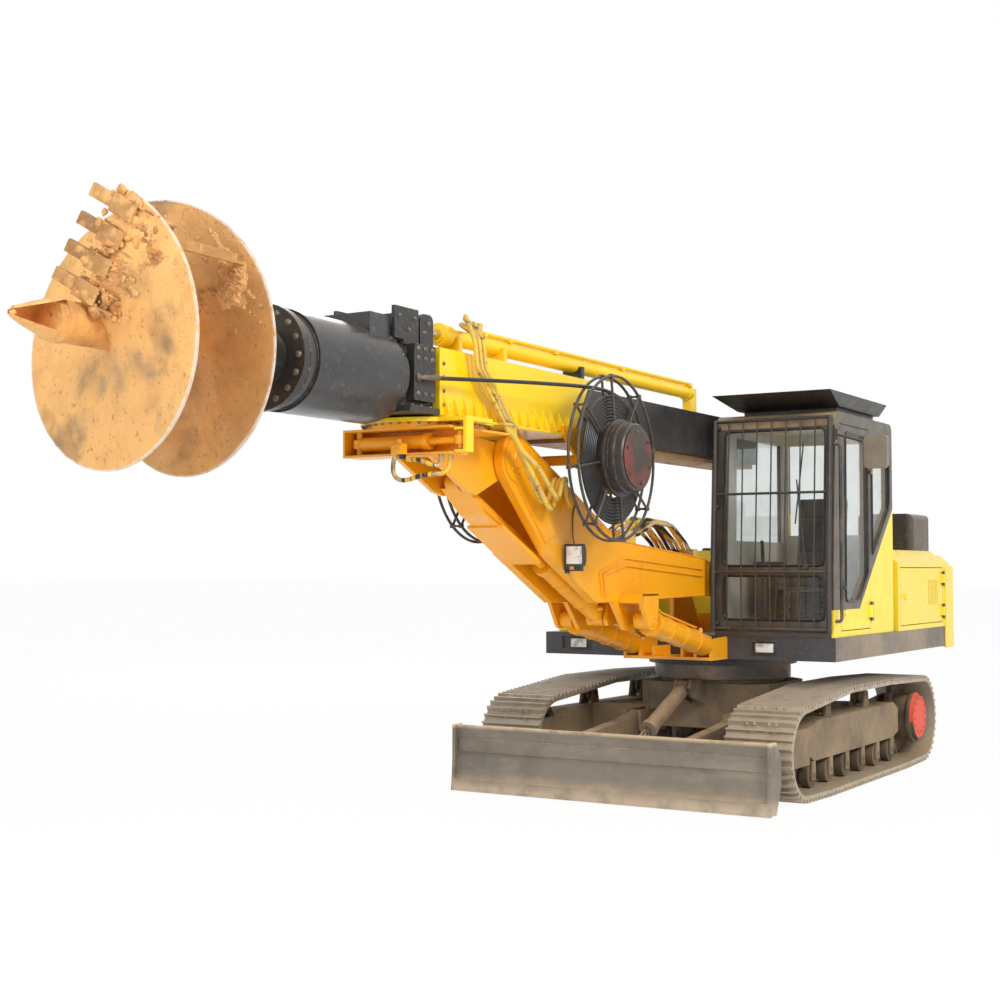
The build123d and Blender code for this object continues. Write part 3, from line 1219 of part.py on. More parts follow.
def slide_pads(x0, x1):
    """Four wear pads inside the beam, a seat's clearance from the sliding arm."""
    y, z0, z1 = arm_section(SEAT)
    inner_y, low, high = BEAM_HALF - BEAM_WALL, BEAM_LOW + BEAM_WALL, BEAM_HIGH - BEAM_WALL
    pads = block(x0, x1, -y + 30, y - 30, low - 1, z0)
    pads += block(x0, x1, -y + 30, y - 30, z1, high + 1)
    for side in (1, -1):
        a, b = sorted((side * y, side * (inner_y + 1)))
        pads += block(x0, x1, a, b, z0 + 30, z1 - 30)
    return pads


def arm_section(grow):
    """Half width, low and high of the sliding arm, grown by a clearance."""
    inset = BEAM_WALL + ARM_PAD
    return BEAM_HALF - inset + grow, BEAM_LOW + inset - grow, BEAM_HIGH - inset + grow


def sleeve():
    """Yellow casing round the front of the beam, with a slanted rear end, foot flange and ribs."""
    y = BEAM_HALF + SLEEVE_WALL
    low, high = SLEEVE_LOW, BEAM_HIGH + SLEEVE_WALL
    body = plate(
        [(SLEEVE_REAR_LOW, low), (SLEEVE_FRONT, low), (SLEEVE_FRONT, high), (SLEEVE_REAR, high)], -y, y)
    body -= block(SLEEVE_REAR - 1, SLEEVE_FRONT + 1, -BEAM_HALF - SEAT / 10, BEAM_HALF + SEAT / 10,
                  BEAM_LOW - SEAT / 10, BEAM_HIGH + SEAT / 10)
    for side in (1, -1):
        a, b = sorted((side * (y - 1), side * (y + SLEEVE_FLANGE)))
        body += block(SLEEVE_REAR_LOW + 20, SLEEVE_FRONT, a, b, low, low + 16)
        for k in range(RIB_COUNT):
            x = SLEEVE_REAR_LOW + 70 + k * (SLEEVE_FRONT - SLEEVE_REAR_LOW - 120) / (RIB_COUNT - 1)
            rib = make_face(Polyline([(x, side * (y - 1), low + 15), (x, side * (y + SLEEVE_FLANGE - 1), low + 15),
                                      (x, side * (y - 1), low + RIB_HEIGHT)], close=True))
            body += extrude(rib, amount=10, dir=(1, 0, 0))
    body += saddle(SADDLES[1], high - 1)
    body += saddle(SADDLES[2], high - 1)
    body += block(SADDLES[2] - 60, SADDLES[2] + 210, -120, 120, high - 1, high + 34)
    return body


def swing_plate():
    """Moving half of the swing ring, bolted under the sleeve, with the lug for the swing rod."""
    low = RING2_LOW + RING2_PLATE + SEAT
    body = upright(RING2_X, 0, RING2_RADIUS, low, SLEEVE_LOW)
    z = SWING_CYL_Z
    hang = SWING_EYE_Y + 36 + GAP
    arm_x = SWING_CYL_X
    body += block(RING2_X, arm_x + 40, 230, hang + 20, low, SLEEVE_LOW)
    body += block(arm_x - 40, arm_x + 40, hang, hang + 20, z - 72, low + 1)
    for face in (1, -1):
        a, b = sorted((z + face * (SWING_EYE_HALF + 24 + GAP), z + face * (SWING_EYE_HALF + 40 + GAP)))
        body += block(arm_x - 40, arm_x + 40, SWING_EYE_Y - 20, hang + 1, a, b)
    return body


def rear_rail():
    """Light strip under the rear of the beam that the mast slides and rests on."""
    return block(BEAM_REAR + 50, SLEEVE_REAR_LOW - 60, -BEAM_HALF + 25, BEAM_HALF - 25,
                 BEAM_LOW - BEAM_STRIP, BEAM_LOW)


def reel_axle():
    """Tube across the mast that carries both reels, hung from the rail by two cheeks."""
    body = across(REEL_X, REEL_Z, REEL_AXLE_RADIUS, -REEL_CAP_Y + 60, REEL_CAP_Y - 60)
    for side in (1, -1):
        low, high = sorted((side * (BEAM_HALF + SLEEVE_WALL + SLEEVE_FLANGE), side * (BEAM_HALF + SLEEVE_WALL + SLEEVE_FLANGE + 24)))
        body += plate(
            [(REEL_X - 70, REEL_Z - 50), (REEL_X + 70, REEL_Z - 50), (SLEEVE_REAR_LOW + 240, SLEEVE_LOW),
             (SLEEVE_REAR_LOW + 240, SLEEVE_LOW + 60), (SLEEVE_REAR_LOW + 20, SLEEVE_LOW + 60),
             (REEL_X - 70, REEL_Z + 60)], low, high)
    return body


def reel(side):
    """Hose reel: hub drum with ribs, and two wire rings on spokes, tied at the spokes' ends."""
    y_in, y_out = side * REEL_INNER_Y, side * REEL_OUTER_Y
    body = None
    for y_from, y_to, radius in (
        (REEL_INNER_Y, REEL_OUTER_Y + 24, REEL_HUB_RADIUS), (REEL_OUTER_Y + 2, REEL_OUTER_Y + 22, REEL_HUB_RADIUS + 22),
        (REEL_OUTER_Y + 20, REEL_CAP_Y, REEL_HUB_RADIUS - 12), (REEL_OUTER_Y + 54, REEL_OUTER_Y + 74, REEL_HUB_RADIUS),
    ):
        low, high = sorted((side * y_from, side * y_to))
        drum = across(REEL_X, REEL_Z, radius, low, high)
        body = drum if body is None else body + drum
    low, high = sorted((y_in - side, side * (REEL_CAP_Y - 40)))
    body -= across(REEL_X, REEL_Z, REEL_AXLE_RADIUS + SEAT, low, high)
    inset = side * REEL_WIRE
    ring_radius = REEL_RADIUS - REEL_WIRE
    for y in (y_in + inset, y_out - inset):
        rim = across(REEL_X, REEL_Z, REEL_RADIUS, y - REEL_WIRE, y + REEL_WIRE)
        body += rim - across(REEL_X, REEL_Z, ring_radius - REEL_WIRE, y - 50, y + 50)
    for k in range(REEL_SPOKES):
        angle = radians(REEL_SPOKE_TURN) + 2 * pi * k / REEL_SPOKES
        ux, uz = cos(angle), sin(angle)
        for y in (y_in + inset, y_out - inset):
            body += bar(
                (REEL_X + (REEL_HUB_RADIUS - 15) * ux, y, REEL_Z + (REEL_HUB_RADIUS - 15) * uz),
                (REEL_X + ring_radius * ux, y, REEL_Z + ring_radius * uz), REEL_WIRE - 1)
        body += bar((REEL_X + ring_radius * ux, y_in + inset, REEL_Z + ring_radius * uz),
                    (REEL_X + ring_radius * ux, y_out - inset, REEL_Z + ring_radius * uz), REEL_WIRE - 2)
    return body


def hose_pack(side):
    """Hose wound on the reel, as one ring between the flanges."""
    face = 2 * REEL_WIRE + 3
    low, high = sorted((side * (REEL_INNER_Y + face), side * (REEL_OUTER_Y - face)))
    body = across(REEL_X, REEL_Z, REEL_HOSE_RADIUS, low, high)
    return body - across(REEL_X, REEL_Z, REEL_HUB_RADIUS + SEAT / 10, low - 1, high + 1)


def sliding_arm():
    """Inner tube of the mast, from the drive block back into the beam."""
    y, z0, z1 = arm_section(0)
    body = block(BEAM_REAR + 260, BLOCK_REAR, -y, y, z0, z1)
    body -= block(BEAM_REAR + 259, BLOCK_REAR + 1, -y + 12, y - 12, z0 + 12, z1 - 12)
    return body


def drive_block():
    """Stepped black housing between the sliding arm and the drill drive."""
    outer = BLOCK_HALF + BLOCK_CHEEK
    body = block(BLOCK_REAR, BLOCK_FRONT, -BLOCK_HALF, BLOCK_HALF, BLOCK_LOW, BLOCK_HIGH)
    body += block(BLOCK_REAR + 45, BLOCK_FRONT - 40, -outer, outer, BLOCK_LOW + 30, BLOCK_HIGH - 20)
    body += block(BLOCK_REAR, BLOCK_FRONT - 1, -outer, outer, BLOCK_LOW - BLOCK_FOOT, BLOCK_LOW + 1)
    body += block(BLOCK_REAR + 45, BLOCK_FRONT - 30, -110, 110, BLOCK_HIGH - 1, BLOCK_TOP - 10)
    for side in (1, -1):
        low, high = sorted((side * TOP_PLATE_Y, side * (TOP_PLATE_Y + TOP_PLATE)))
        rear = block(BLOCK_REAR, BLOCK_REAR + 130, low, high, BLOCK_HIGH - 25, BLOCK_TOP)
        body += fillet(rear.edges().filter_by(Axis.Y).group_by(Axis.Z)[-1], 40)
        body += block(BLOCK_REAR + 150, BLOCK_FRONT - 1, low, high, BLOCK_HIGH - 25, BLOCK_TOP + 12)
        body += block(BLOCK_FRONT - 2, BLOCK_FRONT + 85, low, high, BLOCK_HIGH, BLOCK_TOP + 12)
    return body


def drill_drive():
    """Round casing of the planetary drill drive with a step at each end and a pad on top."""
    body = along(0, AXIS_Z, DRUM_RADIUS - 16, DRUM_REAR, DRUM_FRONT - 30)
    body += along(0, AXIS_Z, DRUM_RADIUS, DRUM_REAR + 60, DRUM_FRONT - 90)
    body += along(0, AXIS_Z, DRUM_RADIUS - 60, DRUM_FRONT - 31, DRUM_FRONT - GAP)
    pad_rear = BLOCK_FRONT + 100
    body += block(pad_rear, pad_rear + 185, -TOP_PLATE_Y, TOP_PLATE_Y, AXIS_Z + DRUM_RADIUS / 2, BLOCK_TOP - 50)
    return body


def drive_flange():
    body = along(0, AXIS_Z, DRUM_RADIUS + 4, DRUM_FRONT, DRUM_FRONT + FLANGE_THICK)
    body += along(0, AXIS_Z, 150, DRUM_FRONT + FLANGE_THICK - 1, DRUM_FRONT + FLANGE_THICK + 150)
    body += along(0, AXIS_Z, 60, DRUM_FRONT - GAP + SEAT, DRUM_FRONT + 1)
    return body


def auger():
    """Stem with a single flight, a square stiffener, tooth sockets and teeth, and a pilot scoop."""
    start = DRUM_FRONT + FLANGE_THICK + 150
    body = along(0, AXIS_Z, AUGER_STEM_RADIUS, start, AUGER_EDGE_X + 150)
    body += along(0, AXIS_Z, 125, start, start + 170)
    steps = round(AUGER_TURNS * 360 / FLIGHT_STEP)
    sections = []
    for k in range(steps + 1):
        angle = radians(AUGER_EDGE_ANGLE - k * FLIGHT_STEP)
        x = AUGER_EDGE_X - k * FLIGHT_STEP / 360 * AUGER_PITCH
        sections.append(radial_plate(x, angle, AUGER_STEM_RADIUS - 25, AUGER_RADIUS, AUGER_PLATE))
    body += loft(sections, ruled=True)
    edge = radians(AUGER_EDGE_ANGLE)
    for k in range(TOOTH_COUNT):
        reach = AUGER_RADIUS - 55 - k * TOOTH_STEP
        body += tooth(reach, edge - radians(TOOTH_TURN))
    body += pilot()
    return body


def radial_plate(x, angle, inner, outer, thick):
    """A rectangle from the drill axis outwards, standing across the flight."""
    def at(reach, shift):
        return (x + shift, reach * cos(angle), AXIS_Z + reach * sin(angle))
    return make_face(Polyline(
        [at(inner, -thick / 2), at(outer, -thick / 2), at(outer, thick / 2), at(inner, thick / 2)], close=True))


def tooth(reach, angle):
    """Box socket welded on the front of the flight's edge, with a flat pointed tooth."""
    x = AUGER_EDGE_X - TOOTH_TURN / 360 * AUGER_PITCH
    place = Pos(x, reach * cos(angle), AXIS_Z + reach * sin(angle)) * Rot(degrees(angle), 0, 0)
    socket = Box(110, 74, 52)
    point = make_face(Polyline([(50, -30, 0), (100, -34, 0), (136, 0, 0), (100, 34, 0), (50, 30, 0)], close=True))
    return place * Pos(14, 0, 0) * (socket + extrude(point, amount=14, both=True))


def pilot():
    """Hollow pointed scoop on the end of the stem."""
    x0 = AUGER_EDGE_X + 149
    body = Pos(0, 0, AXIS_Z) * (
        Plane(origin=(x0, 0, 0), z_dir=(1, 0, 0))
        * Cone(AUGER_STEM_RADIUS - 10, 18, AUGER_TIP_X - x0, align=(Align.CENTER, Align.CENTER, Align.MIN)))
    body -= block(x0 + 60, AUGER_TIP_X - 60, 6, 200, AXIS_Z - 14, AXIS_Z + 200)
    return body


# Top cylinder

def top_cylinder():
    """Long barrel held on top of the mast, with two oil pipes along it, open at the front for its rod."""
    body = along(0, TOP_CYL_Z, TOP_CYL_RADIUS, TOP_BARREL_REAR, TOP_BARREL_FRONT)
    body += along(0, TOP_CYL_Z, TOP_CYL_RADIUS + 18, TOP_BARREL_FRONT - TOP_GLAND, TOP_BARREL_FRONT - 10)
    body += along(0, TOP_CYL_Z, TOP_CYL_RADIUS + 10, TOP_BARREL_REAR + 10, TOP_BARREL_REAR + 60)
    body += block(TOP_BARREL_REAR - 80, TOP_BARREL_REAR + 30, -36, 36, BEAM_HIGH, TOP_CYL_Z + 36)
    for y, z in TOP_PIPES:
        body += along(y, TOP_CYL_Z + z, TOP_PIPE_RADIUS, TOP_BARREL_REAR + 40, TOP_PIPE_FRONT)
    for x in (TOP_BARREL_REAR + 50, 1900, 2900, 3500, TOP_PIPE_FRONT - 60):
        body += block(x, x + 34, -34, 60, TOP_CYL_Z + TOP_CYL_RADIUS - 12, TOP_CYL_Z + 66)
    body -= along(0, TOP_CYL_Z, TOP_ROD_RADIUS + SEAT, TOP_BARREL_REAR + 60, TOP_BARREL_FRONT + 1)
    return body


def saddle(x, low):
    """A block that the top cylinder's barrel lies in."""
    body = block(x, x + 40, -75, 75, low, TOP_CYL_Z - 10)
    return body - along(0, TOP_CYL_Z, TOP_CYL_RADIUS + PIN_FIT, x - 1, x + 41)


def top_rod():
    """Rod of the top cylinder, which pushes the drive block."""
    return along(0, TOP_CYL_Z, TOP_ROD_RADIUS, TOP_ROD_REAR, BLOCK_REAR + 45)


def mast_hoses():
    """Hoses from the top cylinder's pipes over the sleeve's side to a holder on its foot flange."""
    side_y = BEAM_HALF + SLEEVE_WALL + SLEEVE_FLANGE + MAST_HOSE_RADIUS + 12
    low = SLEEVE_LOW + 8
    middle = MAST_HOSE_LOW_X
    body = block(middle - 90, middle + 90, BEAM_HALF + SLEEVE_WALL + SLEEVE_FLANGE, side_y + 26, SLEEVE_LOW, SLEEVE_LOW + 16)
    for k, (y, z) in enumerate(TOP_PIPES + [(16, 100)]):
        shift = (k - 1) * MAST_HOSE_STEP
        z += TOP_CYL_Z
        points = [(TOP_PIPE_FRONT + 10, y, z), (TOP_PIPE_FRONT + 140, y, z + 30), (4240 + shift, 200, z - 5),
                  (4330 + shift, side_y, 3020), (4300 + shift, side_y, 2860), (middle + shift, side_y, low)]
        body += hose(points, MAST_HOSE_RADIUS, 50)
    joint = block(TOP_PIPE_FRONT, TOP_PIPE_FRONT + 40, -32, 58, TOP_CYL_Z + 20, TOP_CYL_Z + 116)
    body += joint - along(0, TOP_CYL_Z, TOP_CYL_RADIUS + PIN_FIT, TOP_PIPE_FRONT - 1, TOP_PIPE_FRONT + 41)
    return body


def swing_hoses():
    """Valve block on the front of the yoke, with two hoses that loop round to the yoke's underside."""
    x = YOKE_FRONT + 22
    under = RING2_LOW - YOKE_DEEP - YOKE_PLATE
    body = block(YOKE_FRONT, YOKE_FRONT + 44, 0, 88, under, under + 66)
    body += hose([(x, 20, under + 2), (x, -14, under - 80), (x, 50, under - 160), (x, 236, under - 110),
                  (x - 92, 338, under - 112), (x - 92, 338, under)], SWING_HOSE_RADIUS, 34)
    body += hose([(x, 66, under + 2), (x, 96, under - 30), (x, 168, under - 24), (x, 240, under - 52),
                  (x - 70, 290, under - 74), (x - 70, 290, under)], SWING_HOSE_RADIUS, 22)
    return body


def main():
    os.makedirs("parts", exist_ok=True)
    save("car_body", car_body())
    for side, name in ((1, "left"), (-1, "right")):
        save(f"track_{name}", track(side))
        save(f"track_frame_{name}", track_frame(side))
    save("sprockets", sprocket(1), sprocket(-1))
    save("idlers", idler(1), idler(-1))
    save("track_rollers",
         *(r for side in (1, -1) for r in rollers(side, roller_places, ROLLER_RADIUS, ROLLER_HALF)),
         *(r for side in (1, -1) for r in rollers(side, carrier_places, CARRIER_RADIUS, CARRIER_HALF)))
    save("slew_ring", slew_ring())
    save("blade", blade())
    save("blade_arms", blade_arms())
    barrel, rod = cylinder_set(
        (BLADE_CYL_X, BLADE_CYL_Z), (BLADE_EYE_X, BLADE_EYE_Z), 0,
        BLADE_BARREL_RADIUS, BLADE_ROD_RADIUS, BLADE_BARREL_LENGTH, BLADE_EYE_HALF,
        BLADE_EYE_PIN, BLADE_GLAND, BLADE_ROD_INSIDE)
    save("blade_barrel", barrel)
    save("blade_rod", rod)

    save("upper_frame", upper_frame())
    save("lift_bracket", lift_bracket())
    save("boom_foot", boom_foot())
    save("counterweight", counterweight())
    save("engine", engine())
    save("engine_hood", engine_hood())
    save("engine_door_left", engine_door(1))
    save("engine_door_right", engine_door(-1))
    save("hinge_brackets", *hinge_pins())
    save("deck_boxes", tank_box(), front_box())
    save("roof_box", roof_box())
    save("cab_shell", cab_shell())
    save("cab_glass", *cab_glass())
    save("cab_guard", cab_guard())
    save("cab_visor", cab_visor())
    save("seat", seat())
    save("console", *console())
    save("mirror_and_rail", *mirror_and_rails())
    save("cab_door", cab_door())
    save("door_glass", door_glass())

    save("boom", boom())
    save("boom_hoses", boom_hoses())
    barrels, rods = [], []
    for side in (1, -1):
        barrel, rod = cylinder_set(
            (LIFT_BASE_X, LIFT_BASE_Z), (LIFT_EYE_X, LIFT_EYE_Z), side * LIFT_Y,
            LIFT_BARREL_RADIUS, LIFT_ROD_RADIUS, LIFT_BARREL_LENGTH, LIFT_EYE_HALF,
            LIFT_PIN, LIFT_GLAND, LIFT_ROD_INSIDE)
        barrels.append(barrel)
        rods.append(rod)
    save("lift_barrels", *barrels)
    save("lift_rods", *rods)
    barrel, rod = cylinder_set(
        (TILT_BASE_X, TILT_BASE_Z), TILT_EYE, 0,
        TILT_BARREL_RADIUS, TILT_ROD_RADIUS, TILT_BARREL_LENGTH, TILT_EYE_HALF,
        TILT_PIN, TILT_GLAND, TILT_ROD_INSIDE)
    save("tilt_barrel", barrel)
    save("tilt_rod", rod + rod_guard())
    save("cradle", cradle())
    save("swing_hoses", swing_hoses())
    barrel, rod = swing_cylinder()
    save("swing_barrel", barrel)
    save("swing_rod", rod)

    save("swing_plate", swing_plate())
    save("sleeve", sleeve())
    save("outer_beam", outer_beam())
    save("rear_rail", rear_rail())
    save("top_cylinder", top_cylinder())
    save("mast_hoses", mast_hoses())
    save("reel_axle", reel_axle())
    for side, name in ((1, "left"), (-1, "right")):
        save(f"reel_{name}", reel(side))
        save(f"hose_pack_{name}", hose_pack(side))
    save("sliding_arm", sliding_arm())
    save("drive_block", drive_block())
    save("drill_drive", drill_drive())
    save("top_rod", top_rod())
    save("drive_flange", drive_flange())
    save("auger", auger())


if __name__ == "__main__":
    main()
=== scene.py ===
"""Rotary piling rig: finishes, fine pieces, floor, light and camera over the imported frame."""
import json
import math
import random

import bmesh
import bpy
from mathutils import Matrix, Vector, noise


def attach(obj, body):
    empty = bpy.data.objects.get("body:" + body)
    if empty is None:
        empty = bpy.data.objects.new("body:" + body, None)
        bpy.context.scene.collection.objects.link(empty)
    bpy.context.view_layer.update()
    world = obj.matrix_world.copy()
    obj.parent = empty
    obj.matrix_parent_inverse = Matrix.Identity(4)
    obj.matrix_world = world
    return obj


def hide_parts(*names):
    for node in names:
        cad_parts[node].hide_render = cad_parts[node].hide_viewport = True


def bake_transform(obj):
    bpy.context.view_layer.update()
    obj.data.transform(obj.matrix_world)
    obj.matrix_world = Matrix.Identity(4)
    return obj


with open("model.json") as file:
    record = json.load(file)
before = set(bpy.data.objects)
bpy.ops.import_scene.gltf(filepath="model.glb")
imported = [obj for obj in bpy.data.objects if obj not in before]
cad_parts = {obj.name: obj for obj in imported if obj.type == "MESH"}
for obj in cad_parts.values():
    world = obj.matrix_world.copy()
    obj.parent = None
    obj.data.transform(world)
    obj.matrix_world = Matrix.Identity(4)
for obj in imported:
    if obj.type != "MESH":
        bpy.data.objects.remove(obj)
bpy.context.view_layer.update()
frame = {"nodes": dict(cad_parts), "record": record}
NODES = frame["nodes"]
HAND = {1: "left", -1: "right"}

# sizes and places of the solids that the pieces stand on, in metres
AXIS_Z = 2.76
SPROCKET_X, SPROCKET_Z = -1.440, 0.405
TRACK_Y, TRACK_HALF = 1.015, 0.215
BOOM_SIDE = 0.2005
TILT_PIN = (3.700, 2.360)
LIFT_FOOT, LIFT_EYE = (0.985, 1.075), (2.110, 1.310)
TILT_FOOT, TILT_EYE = (2.200, 1.330), (4.0894, 2.2027)
REEL = Vector((2.975, 0.0, 2.400))
HOSE, PIN_HOSE = 0.0125, 0.0165


def add_node(tree, kind, values=(), **settings):
    """A new node with values on its inputs and settings of its own."""
    n = tree.nodes.new(kind)
    for k, v in settings.items():
        setattr(n, k, v)
    for k, v in dict(values).items():
        n.inputs[k].default_value = v
    return n


# Camera, floor and light

CAMERA_PLACE = (11.992, 5.145, 1.67)
CAMERA_YAW, CAMERA_PITCH = 31.408, 2.587
LENS, SENSOR, SIGHT = 55.489, 36.0, 400.0
FLOOR_HALF, FLOOR_Z, FLOOR_GLOW = 150.0, -0.002, 0.95
SKY = (0.93, 0.96, 1.0, 1)
SKY_STRENGTH = 0.62
WHITE = (1, 1, 1, 1)
LAMPS = (
    # lamp, where it hangs, what it points at, metres across, watts, colour
    ("key", (8.0, 15.0, 12.0), (1.0, 0.0, 1.6), 6.0, 2300.0, (1.0, 0.97, 0.92)),
    ("front", (18.0, 2.0, 6.0), (2.0, 0.0, 1.6), 9.0, 800.0, (0.95, 0.97, 1.0)),
    ("rear", (-10.0, -12.0, 10.0), (0.0, 0.0, 1.5), 8.0, 700.0, (0.97, 0.98, 1.0)),
)


def set_view():
    scene = bpy.context.scene
    scene.view_settings.view_transform = "Standard"
    lens = bpy.data.cameras.new("camera")
    lens.sensor_width = SENSOR
    lens.lens = LENS
    lens.clip_end = SIGHT
    camera = bpy.data.objects.new("camera", lens)
    scene.collection.objects.link(camera)
    yaw, pitch = math.radians(CAMERA_YAW), math.radians(CAMERA_PITCH)
    look = Vector((-math.cos(yaw) * math.cos(pitch), -math.sin(yaw) * math.cos(pitch), math.sin(pitch)))
    camera.location = CAMERA_PLACE
    camera.rotation_euler = look.to_track_quat("-Z", "Y").to_euler()
    scene.camera = camera


def two_looks(owner, output, lit, shown, glow):
    """One look for light that falls, and one for the rays of the camera, of mirrors and of panes."""
    owner.use_nodes = True
    tree = owner.node_tree
    tree.nodes.clear()
    out = add_node(tree, output)
    mix = add_node(tree, "ShaderNodeMixShader")
    path = add_node(tree, "ShaderNodeLightPath")
    seen = path.outputs["Is Camera Ray"]
    for ray in ("Is Glossy Ray", "Is Transmission Ray"):
        either = add_node(tree, "ShaderNodeMath", operation="MAXIMUM")
        tree.links.new(seen, either.inputs[0])
        tree.links.new(path.outputs[ray], either.inputs[1])
        seen = either.outputs[0]
    share = add_node(tree, "ShaderNodeMath", {1: glow}, operation="MULTIPLY")
    tree.links.new(seen, share.inputs[0])
    tree.links.new(share.outputs[0], mix.inputs[0])
    for k, (kind, values) in enumerate((lit, shown)):
        tree.links.new(add_node(tree, kind, values).outputs[0], mix.inputs[k + 1])
    tree.links.new(mix.outputs[0], out.inputs[0])


def set_stage():
    bm = bmesh.new()
    bmesh.ops.create_grid(bm, x_segments=2, y_segments=2, size=FLOOR_HALF)
    mesh = bpy.data.meshes.new("floor")
    bm.to_mesh(mesh)
    floor = bpy.data.objects.new("floor", mesh)
    floor.location = (0, 0, FLOOR_Z)
    bpy.context.scene.collection.objects.link(floor)
    m = bpy.data.materials.new("floor_pale")
    two_looks(m, "ShaderNodeOutputMaterial", ("ShaderNodeBsdfDiffuse", {"Color": (0.93, 0.93, 0.92, 1)}),
              ("ShaderNodeEmission", {"Color": WHITE}), FLOOR_GLOW)
    mesh.materials.append(m)
    world = bpy.data.worlds.new("studio")
    bpy.context.scene.world = world
    two_looks(world, "ShaderNodeOutputWorld",
              ("ShaderNodeBackground", {"Color": SKY, "Strength": SKY_STRENGTH}),
              ("ShaderNodeBackground", {"Color": WHITE, "Strength": 1.0}), 1.0)
    for name, place, aim, size, power, tint in LAMPS:
        data = bpy.data.lights.new(name, "AREA")
        data.size = size
        data.energy = power
        data.color = tint
        lamp = bpy.data.objects.new(name, data)
        lamp.location = place
        lamp.rotation_euler = (Vector(aim) - Vector(place)).to_track_quat("-Z", "Y").to_euler()
        bpy.context.scene.collection.objects.link(lamp)


# Finishes

def linear(*rgb):
    """A colour read from the photo, 0 to 255 a channel, as Blender takes it."""
    return tuple(c / 255 / 12.92 if c <= 10 else ((c / 255 + 0.055) / 1.055) ** 2.4 for c in rgb) + (1.0,)


